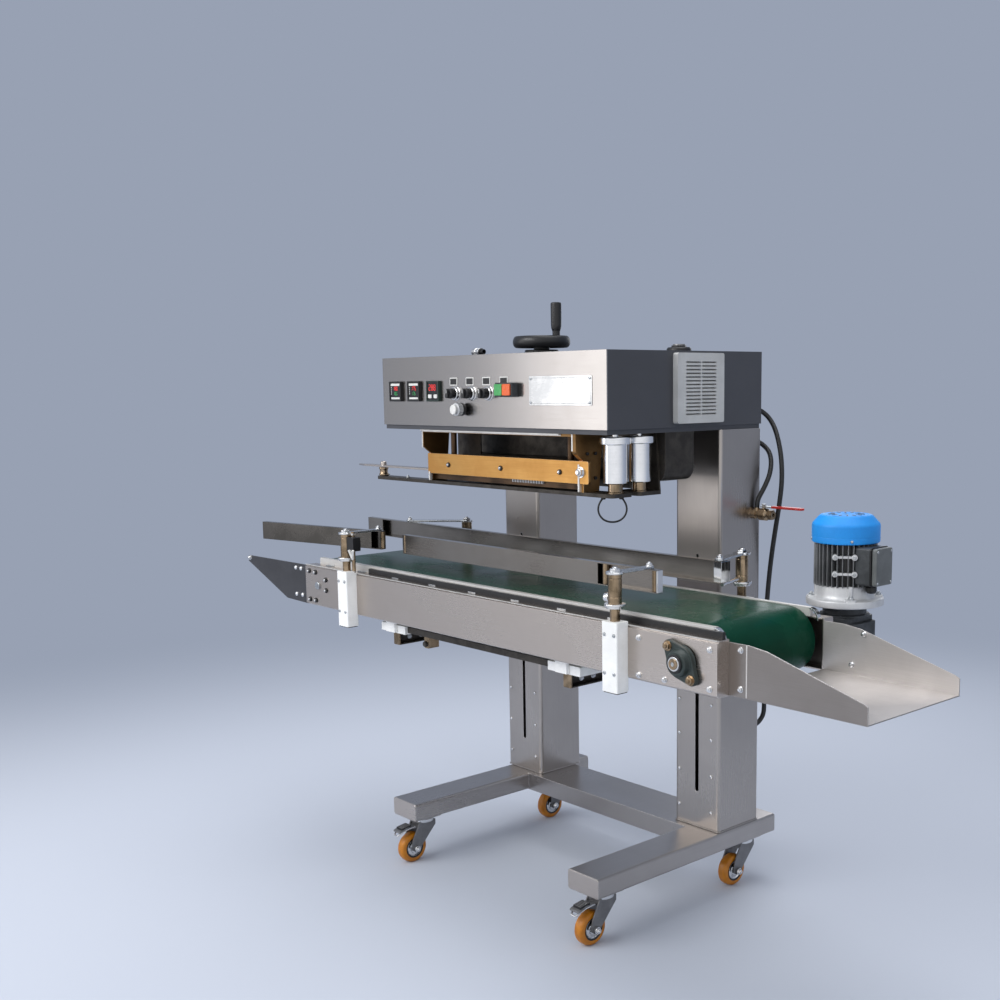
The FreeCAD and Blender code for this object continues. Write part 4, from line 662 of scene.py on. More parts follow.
class Head(Enum):
    """Kinds of screw heads, as shells of unit width about Z, seated at zero."""

    PAN = "pan"
    HEX = "hex"
    SOCKET = "socket"
    DOME = "dome"
    RIVET = "rivet"

    def item(self) -> bpy.types.Object:
        """Models the head 1 mm wide, so that a point's size scales it."""
        shape = Solid(self.value + "_head")
        if self is Head.PAN:
            shape.turned([(0.5, 0), (0.5, 0.12), (0.44, 0.24), (0.3, 0.31), (0.14, 0.33), (0.12, 0.2),
                          (0, 0.2)], "z", (0, 0, 0), Look.ZINC, 24)
        elif self is Head.HEX:
            shape.turned([(0.62, 0), (0.62, 0.09), (0.3, 0.1), (0, 0.1)], "z", (0, 0, 0), Look.ZINC, 28)
            shape.prism(circle(0.5, sides=6), "z", (0.09, 0.42), Look.ZINC, 0.03)
            shape.turned([(0.26, 0.4), (0.26, 0.6), (0.22, 0.64), (0, 0.64)], "z", (0, 0, 0), Look.ZINC, 16)
        elif self is Head.SOCKET:
            shape.turned([(0.5, 0), (0.5, 0.5), (0.45, 0.56), (0.27, 0.56)], "z", (0, 0, 0), Look.BLACK, 28)
            shape.prism(circle(0.44, sides=24), "z", (0.2, 0.565), Look.BLACK, 0.0, circle(0.25, sides=24))
        elif self is Head.DOME:
            shape.turned([(0.5, 0), (0.49, 0.1), (0.42, 0.24), (0.3, 0.34), (0.15, 0.39), (0, 0.4)], "z",
                         (0, 0, 0), Look.CHROME, 24)
        else:
            shape.turned([(0.5, 0), (0.46, 0.14), (0.34, 0.24), (0.18, 0.29), (0, 0.3)], "z", (0, 0, 0),
                         Look.ZINC, 16)
        return item_of(shape)


@dataclass
class Fasteners:
    """All the screws, gathered by body, kind and finish, and made by one tree."""

    seed: int = 7
    spots: dict[tuple[str, Head, Look], list[tuple[Point, Point, float]]] = field(default_factory=dict)

    def add(self, body: str, head: Head, look: Look, size: float, aim: Point, *places: Point) -> None:
        """Notes screws of one kind that face one way.

        Args:
            body: The body they sit on.
            head: Their kind.
            look: Their finish.
            size: Head width in millimetres.
            aim: The way the heads point.
            places: Where they are seated, in millimetres.
        """
        self.spots.setdefault((body, head, look), []).extend((place, aim, size) for place in places)

    def build(self) -> None:
        """Makes one piece for each body, kind and finish."""
        tree = screws_tree()
        for (body, head, look), screws in self.spots.items():
            base = bpy.data.meshes.new("screw_spots")
            base.from_pydata([[MM * v for v in place] for place, _, _ in screws], [], [])
            base.attributes.new("aim", "FLOAT_VECTOR", "POINT").data.foreach_set(
                "vector", [v for _, aim, _ in screws for v in aim])
            sizes = [size for _, _, size in screws]
            base.attributes.new("size", "FLOAT", "POINT").data.foreach_set("value", sizes)
            name = "%s_%s_%s" % (head.value, look.name.lower(), body)
            made = grow(name, tree, head.item(), look, base, Seed=self.seed)
            ride(made, body, "black_plastic" if look is Look.BLACK else "zinc")


FRONT: Point = (0, -1, 0)
BACK: Point = (0, 1, 0)
LEFT: Point = (-1, 0, 0)
RIGHT: Point = (1, 0, 0)
UP: Point = (0, 0, 1)
DOWN: Point = (0, 0, -1)


# Segments of a seven-segment digit, from a to g, as (x, z) of their ends in a 1 by 2 cell.
SEGMENTS: list[tuple[Flat, Flat]] = [((0, 2), (1, 2)), ((1, 2), (1, 1)), ((1, 1), (1, 0)), ((0, 0), (1, 0)),
                                     ((0, 1), (0, 0)), ((0, 2), (0, 1)), ((0, 1), (1, 1))]
DIGITS: dict[str, str] = {"0": "abcdef", "1": "bc", "2": "abdeg", "5": "acdfg", "7": "abc", "8": "abcdefg"}


@dataclass
class ControlHead:
    """The front panel with its controllers, switches and plates, and what stands on the roof."""

    screws: Fasteners

    def digits(self, made: Solid, text: str, at: Flat, high: float, front: float, look: Look) -> None:
        """Draws lit digits as thin bars on a display.

        Args:
            made: The piece that gets them.
            text: The digits.
            at: Lower left corner in (x, z).
            high: Height of a digit.
            front: The display's face.
            look: Red or green.
        """
        unit = high / 2
        for i, letter in enumerate(text):
            left = at[0] + i * unit * 1.45
            for name in DIGITS[letter]:
                (x0, z0), (x1, z1) = SEGMENTS["abcdefg".index(name)]
                flat = z0 == z1
                a, b = sorted((left + x0 * unit * 0.9, left + x1 * unit * 0.9))
                c, d = sorted((at[1] + z0 * unit, at[1] + z1 * unit))
                pad = unit * 0.11
                made.block((a + pad if flat else a - pad, b - pad if flat else b + pad),
                           (front - 0.35, front + 0.1),
                           (c - pad if flat else c + pad, d + pad if flat else d - pad), look, 0.0)

    def controllers(self) -> None:
        """Builds the two temperature controllers and the speed controller."""
        for tag in ("left", "middle", "right"):
            room = Room.of("controller_" + tag)
            x, z, front = room.x, room.z, room.y0
            wide = room.x1 - room.x0
            made = Solid("panel_controller_" + tag)
            frame_look = Look.GREEN_FRAME if tag == "right" else Look.BLACK
            inner = wide - 7
            made.prism(rounded(wide, wide, 2.5, (x, z)), "y", (front, front + 8), frame_look, 1.0,
                       rounded(inner, inner, 1.5, (x, z)))
            made.prism(rounded(inner + 1, inner + 1, 1.2, (x, z)), "y", (front + 2.2, front + 7), Look.SCREEN,
                       0.2)
            made.block((x - 22, x + 22), (front + 7, room.y1), (z - 22, z + 22), Look.BLACK, 1.0)
            face = front + 2.2
            if tag == "right":
                made.prism(rounded(inner - 3, 19, 1, (x, z + 8)), "y", (face - 0.5, face + 1), Look.SCREEN,
                           0.2)
                self.digits(made, "288", (x - 14, z + 2), 13, face - 0.5, Look.LIT_RED)
                for dx in (-11, 11):
                    made.prism(rounded(13, 9, 2.5, (x + dx, z - 12)), "y", (face - 1.6, face + 1), Look.WHITE,
                               0.6)
            else:
                made.prism(rounded(inner - 4, 5.5, 0.8, (x, z + 16)), "y", (face - 0.3, face + 1), Look.WHITE,
                           0.1)
                self.digits(made, "180" if tag == "left" else "175", (x - 8, z + 2.5), 9, face, Look.LIT_RED)
                self.digits(made, "180" if tag == "left" else "175", (x - 7, z - 9), 7.5, face,
                            Look.LIT_GREEN)
                made.prism(rounded(inner - 6, 4.5, 0.8, (x, z - 16.5)), "y", (face - 0.3, face + 1),
                           Look.WHITE, 0.1)
                for dz in (-6, -1, 4, 9):
                    made.prism(rounded(3, 3, 1.2, (x - 16, z + dz)), "y", (face - 0.6, face + 1), Look.GREY,
                               0.2)
            made.done("frame", "black_plastic", "controller_" + tag)

    def selectors(self) -> None:
        """Builds the black pointer knobs in their chrome collars."""
        rings = Solid("selector_collars")
        for tag in ("left", "middle", "right"):
            room = Room.of("selector_" + tag)
            x, z = room.x, room.z
            panel = Room.of("head_front_panel").y0 + 6
            rings.turned([(11.9, -7.6), (13.2, -8), (14.6, -7), (15.2, -5), (15.2, -1.2), (16.4, -0.6),
                          (16.4, 0.1), (11.9, 0.1)], "y", (x, panel, z), Look.CHROME, 48, closed=True)
            knob = Solid("selector_knob_" + tag)
            knob.turned([(0, 6), (9.4, 6), (10.6, 7), (11.4, 9), (11.4, 17), (6, 18), (6, 38), (0, 38)], "y",
                        (x, room.y0, z), Look.BLACK, 40)
            corners = ((-3.4, -10.4), (3.4, -10.4), (4.8, -7), (4.8, 6), (3.2, 9.6), (1.2, 11), (-1.2, 11),
                       (-3.2, 9.6), (-4.8, 6), (-4.8, -7))
            pointer = [(x + dx, z + dz) for dx, dz in corners]
            knob.prism(pointer, "y", (room.y0, room.y0 + 9), Look.BLACK, 1.4)
            knob.prism(rounded(1.6, 9, 0.7, (x, z + 5)), "y", (room.y0 - 0.25, room.y0 + 0.6), Look.WHITE,
                       0.1)
            knob.done("selector_" + tag, "black_plastic", "selector_" + tag)
        rings.done("frame", "zinc")

    def buttons(self) -> None:
        """Builds the start and stop button and the pressure regulator."""
        room = Room.of("push_button")
        x, z = room.x, room.z
        made = Solid("start_stop_button")
        made.prism(rounded(room.x1 - room.x0, room.z1 - room.z0, 3.5, (x, z)), "y", (room.y0 + 5, room.y1),
                   Look.CAST_DARK, 1.0)
        made.prism(rounded(room.x1 - room.x0 - 4, room.z1 - room.z0 - 4, 3, (x, z)), "y",
                   (room.y0 + 3.4, room.y0 + 6), Look.BLACK, 0.5)
        for side, look in ((-1, Look.KEY_GREEN), (1, Look.KEY_RED)):
            made.prism(rounded(26, 25, 3, (x + side * 13.6, z)), "y", (room.y0, room.y0 + 6), look, 1.6)
        made.done("frame", "black_plastic", "push_button")

        room = Room.of("regulator_knob")
        x, z = room.x, room.z
        made = Solid("pressure_regulator_knob")
        made.turned([(0, 0), (9.6, 0), (10.8, 0.8), (11, 1.6), (11, 3), (7.4, 3.6), (7, 4.2), (7, 7), (0, 7)],
                    "y", (x, room.y0, z), Look.WHITE, 40)
        made.turned([(0, 7), (13, 7.4), (14.2, 9), (14.2, 20.6), (13, 21), (0, 21)], "y", (x, room.y0, z),
                    Look.CAST_SILVER, 48)
        made.turned([(0, 21), (13.2, 21), (14.6, 22.4), (14.8, 27), (13.8, 29), (6, 29), (6, 46), (0, 46)],
                    "y", (x, room.y0, z), Look.BLACK, 48)
        made.done("regulator", "white_plastic", "regulator_knob")
        flute = Solid("flute")
        flute.prism([(13.6, -0.9), (15, -0.5), (15, 0.5), (13.6, 0.9)], "z", (9, 20), Look.ZINC, 0.2)
        lay = Matrix.Translation((x * MM, room.y0 * MM, z * MM)) @ Matrix.Rotation(math.radians(-90), 4, "X")
        flutes = grow("regulator_flutes", ring_tree(), item_of(flute), Look.ZINC, Count=26, Radius=0.0,
                      turn=lay)
        ride(flutes, "regulator", "white_plastic")

    def plates(self) -> None:
        """Adds the bare nameplate, the label plates and the housing's screws."""
        room = Room.of("head_front_panel")
        front = room.y0 + 6
        name = (room.x1 - 140, room.z0 + 80)
        made = Solid("bare_nameplate")
        made.prism(rounded(196, 62, 3, name), "y", (front - 1.2, front - 0.05), Look.PLATE, 0.4)
        made.prism(rounded(188, 54, 2, name), "y", (front - 1.45, front - 1.1), Look.PLATE, 0.15,
                   rounded(186.4, 52.4, 1.4, name))
        for knob in ("left", "middle", "right"):
            x = Room.of("selector_" + knob).x - 7
            self.label(made, x, front, room.z0 + 102)
        self.label(made, room.x0 + 468, front, room.z0 + 102)
        made.done("frame", "light_panel")
        self.screws.add("frame", Head.PAN, Look.ZINC, 6, FRONT,
                        *[(name[0] + dx, front - 1.2, name[1] + dz) for dx in (-92, 92) for dz in (-25, 25)])
        self.screws.add("frame", Head.PAN, Look.CHROME, 7, LEFT,
                        *[(room.x0, y, z) for y in (-170, 250) for z in (room.z0 + 16, room.z1 - 16)])

    @staticmethod
    def label(made: Solid, x: float, front: float, z: float) -> None:
        """Adds one small bare label plate: a white rim round a black field."""
        made.prism(rounded(28, 18, 1.5, (x, z)), "y", (front - 0.9, front - 0.05), Look.WHITE, 0.2)
        made.prism(rounded(23.5, 13.5, 1, (x, z)), "y", (front - 1.1, front - 0.7), Look.BLACK, 0.1)

    def roof(self) -> None:
        """Builds the handwheel, the air coupling and the cable gland on the roof."""
        room = Room.of("handwheel")
        roof = Room.of("head_housing").z1
        x, y, low = room.x0 + 65, room.y, roof + 14
        rim = []
        for i in range(20):
            turn = 2 * math.pi * i / 20
            rim.append((58 + 6.8 * math.cos(turn),
                        13 + 12.8 * math.sin(turn) * (1 - 0.12 * abs(math.cos(turn)))))
        made = Solid("black_handwheel")
        made.turned(rim, "z", (x, y, low), Look.BLACK, 96, closed=True)
        made.turned([(0, -29), (7, -29), (7, -13.6), (36.6, -13.6), (38, -12), (38, -6), (36, -4.6),
                     (18, -4), (18, 6), (30, 8), (52, 9), (52, 13.4),
                     (30, 14), (17, 15), (16, 20), (13, 23.4), (0, 23.6)], "z", (x, y, low), Look.BLACK, 72)
        made.prism(circle(8, (x, y), 6), "z", (low + 22, low + 25.6), Look.ZINC, 0.8)
        grip = x + 50
        made.turned([(0, 8), (8.6, 8), (8.6, 34), (9.4, 37), (11.2, 42), (11.8, 50), (12, 70), (12, 94.6),
                     (11, 97), (8, 98), (0, 98)], "z", (grip, y, low), Look.BLACK, 40)
        made.done("handwheel", "black_plastic", "handwheel")
        seat = Solid("handwheel_seat")
        seat.turned([(7.6, 0), (22, 0), (23, 1), (23, 2.4), (15, 4), (14, 12), (7.6, 12)], "z", (x, y, roof),
                    Look.ZINC, 48, closed=True)
        seat.done("frame", "zinc")

        room = Room.of("top_coupling")
        y, z = room.y, room.z1 - 9
        made = Solid("air_coupling")
        made.turned([(0, 0), (7, 0), (8, 1), (8, 9), (9, 10), (9, 15), (8, 16), (8, 20), (9, 21), (9, 26),
                     (7.2, 27),
                     (7.2, 28.5), (4, 28.5), (4, 20), (0, 20)], "x", (room.x0, y, z), Look.CHROME, 40)
        made.turned([(4, 27), (8.2, 27.2), (8.4, 28), (8.4, 31), (7.4, 32), (4, 32)], "x", (room.x0, y, z),
                    Look.BLACK, 40, closed=True)
        made.turned([(4, 31), (6, 31.4), (6, 40), (4, 40)], "x", (room.x0, y, z), Look.BLACK, 32, closed=True)
        made.turned([(8.1, 12), (9.2, 12), (9.2, 13.4), (8.1, 13.4)], "x", (room.x0, y, z), Look.WHITE, 40,
                    closed=True)
        made.turned([(0, 0), (9.4, 0), (9.4, 1.6), (7, 2.4), (7, 11), (0, 11)], "z", (room.x0 + 10, y, roof),
                    Look.ZINC, 32)
        made.done("frame", "zinc", "top_coupling")

        room = Room.of("cable_gland")
        made = Solid("roof_gland")
        made.turned([(0, 0), (26.4, 0), (27, 1), (27, 5), (25, 8), (23.6, 9), (18, 9.4), (0, 9.4)], "z",
                    (room.x, room.y, room.z0), Look.BLACK, 64)
        made.prism(circle(17.4, (room.x, room.y), 6), "z", (room.z0 + 9, room.z0 + 13), Look.BLACK, 0.8)
        made.turned([(0, 12), (13.4, 12), (14, 13), (13.4, 15.4), (12, 16), (0, 16)], "z",
                    (room.x, room.y, room.z0), Look.FORK, 40)
        made.done("frame", "black_plastic", "cable_gland")

    def build(self) -> None:
        """Makes all of it."""
        self.controllers()
        self.selectors()
        self.buttons()
        self.plates()
        self.roof()


@dataclass
class SealingUnit:
    """Press rollers, infeed roller and the small parts of the sealing bar."""

    screws: Fasteners

    def rollers(self) -> None:
        """Builds the two press rollers with their flanges, spindles and brass bushes."""
        bushes = Solid("roller_bushes")
        for tag in ("front", "rear"):
            room = Room.of("press_roller_" + tag)
            x, y, low, top = room.x, room.y, room.z0, room.z1
            made = Solid("press_roller_body_" + tag)
            made.turned([(0, 0), (6, 0), (6, 26), (0, 26)], "z", (x, y, low), Look.CHROME, 32)
            made.turned([(0, 25), (23.6, 25), (25, 26.4), (25, 108), (0, 108)], "z", (x, y, low),
                        Look.TURNED_Z, 72)
            made.turned([(20, 105.6), (24.6, 105.6), (32, 107), (33, 108.4), (33, 119.6), (32, 121.4),
                         (20, 121.6)], "z", (x, y, low), Look.TURNED_Z, 72, closed=True)
            made.turned([(0, 107), (20.5, 107), (20.5, 120.4), (6, 120.4), (6, top - low), (0, top - low)],
                        "z", (x, y, low), Look.CHROME, 40)
            made.done("press_" + tag, "aluminium", "press_roller_" + tag)
            plate = Room.of("seal_lower_plate").z0 + 8
            bushes.turned([(14.7, 0), (17.5, 0), (17.5, 2), (15.6, 3.4), (15.4, 19.2), (14.7, 19.2)], "z",
                          (x, y, plate), Look.BRASS, 48, closed=True)
        bushes.done("frame", "yellow_zinc")
        room = Room.of("infeed_roller")
        made = Solid("brass_infeed_roller")
        half = (room.x1 - room.x0) / 2
        made.turned([(4.3, 0), (half - 1, 0), (half, 1), (half, 4), (half - 1.6, 6), (half - 2, 10.5),
                     (half - 1.6, 15),
                     (half, 17), (half, 20), (half - 1, 21), (4.3, 21)], "z", (room.x, room.y, room.z0),
                    Look.BRASS, 56, closed=True)
        made.done("infeed_roller", "yellow_zinc", "infeed_roller")

    def bar(self) -> None:
        """Adds the sealing bar's bolts, pale strips painted as highlights along the head's and the bar's
        edges, the back sheet and the small screws.
        """
        room = Room.of("seal_bracket")
        front = room.y0 + 16
        head = Room.of("head_housing")
        plate = Room.of("seal_lower_plate")
        z = plate.z1 - 19 + 41
        left = room.x0
        spots = [(left + dx, z - 0.5) for dx in (82, 276, 475)]
        # Black washers under small chrome hex heads: the black that shows beside each head is painted shadow.
        self.screws.add("frame", Head.PAN, Look.BLACK, 12, FRONT, *[(x, front, z) for x, z in spots])
        self.screws.add("frame", Head.HEX, Look.CHROME, 7, FRONT, *[(x, front - 2, z) for x, z in spots])
        self.screws.add("frame", Head.HEX, Look.CHROME, 19, FRONT, (left + 541, front, z + 2))
        liner = Solid("sealing_unit_back_sheet")
        liner.block((left + 0.6, left + 90), (-90, -86.5), (plate.z1 + 2, head.z0 - 0.3), Look.DARK_STEEL,
                    0.4)
        liner.done("frame", "dark_steel")
        lip = (room.y0 - 0.6, room.y0 + 1.4)
        # Thin pale strips along the head's lower edge and the bar's edges: painted highlights.
        made = Solid("head_edge_strip")
        made.block((left - 0.4, left + 3.4), lip, (head.z0 - 43, head.z0 - 0.3), Look.SATIN, 0.4)
        made.block((left, left + 497), lip, (head.z0 - 5, head.z0 - 0.3), Look.SATIN, 0.4)
        made.block((left + 530, left + 534), lip, (head.z0 - 36, head.z0 - 0.3), Look.SATIN, 0.4)
        made.block((left, left + 497), (head.y0 - 1.6, head.y0 + 26), (head.z0 - 2.4, head.z0 - 0.2),
                   Look.SATIN, 0.6)
        for x in (left + 3, left + 532):
            made.block((x, x + 5), (front - 1.4, front + 6),
                       (plate.z1 - 18, z + (18 if x > left + 9 else -19)), Look.SATIN, 0.5)
        made.done("frame", "yellow_zinc")
        self.screws.add("frame", Head.DOME, Look.CHROME, 8, LEFT,
                        *[(left, y, z + dz) for y in (-165, -140) for dz in (-22, 30, 62)])
        self.screws.add("frame", Head.SOCKET, Look.BLACK, 7, RIGHT,
                        *[(room.x1 - 21, y, z + dz) for y in (-165, -142) for dz in (-12, 40)])
        fitting = Solid("lead_fitting")
        for x, y in ((264.2, -154), (289.8, -126)):
            fitting.turned([(2.3, 0), (4.6, 0), (5, -1), (5, -4.6), (4.2, -5.6), (2.3, -5.6)], "z",
                           (x, y, plate.z0), Look.BLACK, 24, closed=True)
        fitting.done("frame", "black_plastic")
        self.screws.add("frame", Head.HEX, Look.ZINC, 9, UP, (plate.x0 + 14, -146, plate.z1 - 19),
                        (plate.x0 + 120, -160, plate.z1 - 19))
        strip = Solid("heating_block_fins")
        strip.block((-1.5, 1.5), (-7, 0), (-20, 20), Look.CAST_SILVER, 0.5)
        block = Room.of("seal_block")
        first = [v * MM for v in (block.x0 + 300, block.y0 + 0.5, block.z0 + 27)]
        fins = grow("sealing_block_fins", row_tree(), item_of(strip), Look.CAST_SILVER, Count=12,
                    Pitch=(9 * MM, 0, 0), turn=Matrix.Translation(first))
        ride(fins, "frame", "aluminium")

    def build(self) -> None:
        """Makes all of it."""
        self.rollers()
        self.bar()
        edge = Room.of("head_housing").z0 - 42
        # Faces that look along X and the part near the head take the darker brown: painted shade.
        recoat("seal_bracket", "frame", "yellow_zinc", (Look.YELLOW, Look.TAN),
               lambda way, spot: abs(way.x) > 0.5 or spot.z > edge)


@dataclass
class Conveyor:
    """Guide posts, blocks, rail ends and the screws of the side channels."""

    screws: Fasteners

    def link(self, made: Solid, start: Flat, end: Flat, wide: float, z: Span, look: Look) -> None:
        """Adds a flat arm with round ends from one point to another in plan."""
        span = Vector((end[0] - start[0], end[1] - start[1]))
        turn = math.atan2(span.y, span.x)
        outline = []
        for spot, begin in ((start, math.pi / 2), (end, -math.pi / 2)):
            outline += [(spot[0] + wide / 2 * math.cos(turn + begin + math.pi * i / 8),
                         spot[1] + wide / 2 * math.sin(turn + begin + math.pi * i / 8)) for i in range(9)]
        made.prism(outline, "z", z, look, 0.6)

    def post(self, side: str, end: str) -> None:
        """Builds one guide post: rod, rings, sleeve, nuts and flat arm, and a block on a rear one."""
        node = "guide_post_%s_%s" % (side, end)
        block = Room.of("post_block_" + side)
        rail = Room.of("guide_rail_rear")
        front_rail = Room.of("guide_rail_front")
        rear = Room.of("conveyor_side_rear")
        x = block.x
        y = block.y if end == "front" else rear.y1 + 16
        low, top = block.z1, rail.z1
        made = Solid("guide_post_turned_%s_%s" % (side, end))
        made.turned([(0, -6), (9.8, -6), (9.8, 26), (0, 26)], "z", (x, y, low), Look.BRASS, 40)
        made.turned([(0, 25), (17, 25), (18, 26), (18, 29), (20.6, 29), (21, 29.6), (21, 33), (20.4, 34),
                     (15, 34.4), (0, 34.4)], "z", (x, y, low), Look.CHROME, 48)
        height = top - low
        made.turned([(0, 34), (13.4, 34), (13.5, 36), (13.5, 46), (12.9, 46.6), (12.9, 48), (13.5, 48.6),
                     (13.5, height - 10), (12.9, height - 9.4), (12.9, height - 8), (13.5, height - 7.4),
                     (13.5, height), (0, height)], "z", (x, y, low), Look.BRASS, 48)
        made.turned([(0, height - 0.2), (17.4, height - 0.2), (18, height + 0.6), (18, height + 3.4),
                     (17.4, height + 4), (0, height + 4)], "z", (x, y, low), Look.CHROME, 48)
        made.prism(circle(10.8, (x, y), 6, 0.3), "z", (top + 4, top + 9.6), Look.CHROME, 0.8)
        made.turned([(0, height + 9), (5.6, height + 9), (5.6, height + 12), (4.6, height + 13),
                     (0, height + 13)], "z", (x, y, low), Look.CHROME, 24)
        ends = {"left_front": (x, front_rail.y0 + 9), "right_front": (x, front_rail.y0 + 8),
                "left_rear": (x - 110, rail.y0 + 8), "right_rear": (rail.x1 - 9, rail.y0 + 8)}
        tip = ends[side + "_" + end]
        self.link(made, (x, y), tip, 20, (top, top + 4.6), Look.ZINC)
        if end == "rear":
            made.prism(rounded(42, 32, 3, (x, y)), "z", (block.z0, block.z1), Look.NYLON, 0.8)
            made.prism(rounded(38, 28, 2, (x, y)), "z", (block.z0 - 1.6, block.z0 + 1), Look.DARK_STEEL, 0.3)
            made.rod([(x, y, rail.z0 - 4), (tip[0], rail.y0 + 16, rail.z0 - 4)], 8, Look.CHROME, 20)
        made.done("conveyor", "yellow_zinc", node)
        self.screws.add("conveyor", Head.HEX, Look.CHROME, 13, UP, (tip[0], tip[1], top + 4.6))

    def blocks(self) -> None:
        """Finishes the front nylon blocks with their dark bottom plates, and adds the clamps beside them."""
        for side in ("left", "right"):
            room = Room.of("post_block_" + side)
            made = Solid("nylon_block_" + side)
            made.prism(rounded(room.x1 - room.x0, room.y1 - room.y0, 3, (room.x, room.y)), "z",
                       (room.z0, room.z1), Look.NYLON, 0.9)
            made.prism(rounded(38, 28, 2, (room.x, room.y)), "z", (room.z0 - 2, room.z0 + 1), Look.DARK_STEEL,
                       0.4)
            made.turned([(0, -3.6), (3.2, -3.6), (4, -2.6), (4, -1.6), (0, -1.6)], "z",
                        (room.x, room.y, room.z0), Look.BRASS, 20)
            made.done("conveyor", "white_nylon", "post_block_" + side)
        left, right = Room.of("post_block_left"), Room.of("post_block_right")
        rail = Room.of("guide_rail_front")
        z = (rail.z0 + rail.z1) / 2
        clamp = Solid("rail_clamp_lever")
        clamp.prism(rounded(30, 34, 3, (left.x + 26, z)), "y", (left.y - 6, left.y + 16), Look.BLACK, 1.2)
        clamp.rod([(left.x + 26, left.y - 2, z - 10), (left.x + 42, left.y - 9, z - 34),
                   (left.x + 52, left.y - 14, z - 12)],
                  6, Look.WHITE)
        clamp.rod([(left.x + 42, left.y - 9, z - 34), (left.x + 34, left.y - 14, z - 12)], 6, Look.WHITE)
        clamp.rod([(left.x + 17, left.y + 10, left.z1 - 4), (left.x + 17, left.y + 10, rail.z1 + 6)], 9,
                  Look.BRASS, 24)
        clamp.prism(rounded(18, 14, 3, (left.x + 14, left.y + 10)), "z", (rail.z1 - 3, rail.z1 + 2.4),
                    Look.CHROME, 0.6)
        clamp.done("conveyor", "black_plastic")
        knob = Solid("ring_knob")
        knob.turned([(0, 0), (8, 0), (9.6, 1.4), (10, 4), (10, 10), (8.6, 12.4), (5, 13.4), (0, 13.6)], "x",
                    (right.x - 33, right.y + 8, right.z1 + 42), Look.CHROME, 40)
        knob.done("conveyor", "white_plastic")

    def rails(self) -> None:
        """Adds the rails' end plates and brass spacers, and the belt edges' rounded noses."""
        front, rear = Room.of("guide_rail_front"), Room.of("guide_rail_rear")
        made = Solid("rail_ends")
        made.block((front.x1 - 2, front.x1 + 1.4), (front.y0 + 0.6, front.y1 - 0.6),
                   (front.z0 + 0.8, front.z1 - 0.8), Look.CHROME, 0.4)
        for x in (front.x1 - 12, front.x1 - 150):
            made.turned([(4.6, 0), (6.2, 0), (6.2, 41), (4.6, 41)], "z", (x, front.y0 + 8, front.z0 + 2.4),
                        Look.BRASS, 28, closed=True)
        made.block((rear.x0, rear.x0 + 70), (rear.y0 - 0.4, rear.y0 + 1.4), (rear.z0 + 0.6, rear.z1 - 0.4),
                   Look.RAIL, 0.4)
        made.turned([(4.6, 0), (6.8, 0), (6.8, 43), (4.6, 43)], "z",
                    (front.x0 + 8, front.y0 + 6, front.z0 + 1.5), Look.BRASS, 28, closed=True)
        first = Room.of("guide_rail_infeed")
        made.turned([(3.6, 0), (5.6, 0), (5.6, 43), (3.6, 43)], "z",
                    (first.x1 - 8, first.y0 + 101, first.z0 + 1.5), Look.BRASS, 28, closed=True)
        made.block((rear.x1 - 20, rear.x1 + 0.6), (rear.y0 + 2.2, rear.y1 + 0.4),
                   (rear.z0 + 1.4, rear.z1 - 1.4), Look.CHROME, 1.0)
        made.done("conveyor", "stainless")
        bed = Room.of("slider_bed")
        side = Room.of("conveyor_side_front")
        noses = Solid("belt_edge_strips")
        for low, high in ((bed.y0 + 0.6, bed.y0 + 11.4), (bed.y1 - 11.4, bed.y1 - 0.6)):
            drop = [(bed.x1 - 2 + 22 * math.sin(math.radians(a)),
                     bed.z1 - 24 + 24 * math.cos(math.radians(a)))
                    for a in range(0, 100, 10)]
            back = [(bed.x1 - 2 + 19 * math.sin(math.radians(a)),
                     bed.z1 - 24 + 21 * math.cos(math.radians(a)))
                    for a in range(90, -10, -10)]
            noses.prism(drop + back, "y", (low, high), Look.CHROME, 0.4)
        # A black block in the gap under the flange: painted shade.
        noses.block((side.x0 + 265, side.x1 - 4), (bed.y0 - 7, bed.y0 + 1.4), (side.z1 - 0.6, bed.z1 - 5),
                    Look.BLACK, 0.6)
        # A pale strip along the flange's top: a painted highlight.
        noses.block((side.x0 + 1, side.x1 - 1), (side.y0 - 0.2, side.y0 + 6), (side.z1 - 0.4, side.z1 + 0.8),
                    Look.SATIN, 0.4)
        for i in range(8):
            start = side.x0 + 70 + 148 * i
            noses.block((start, start + 26), (bed.y0 - 8, bed.y0 + 4), (side.z1 - 0.8, side.z1 + 3),
                        Look.ZINC, 0.6)
        noses.done("conveyor", "stainless")

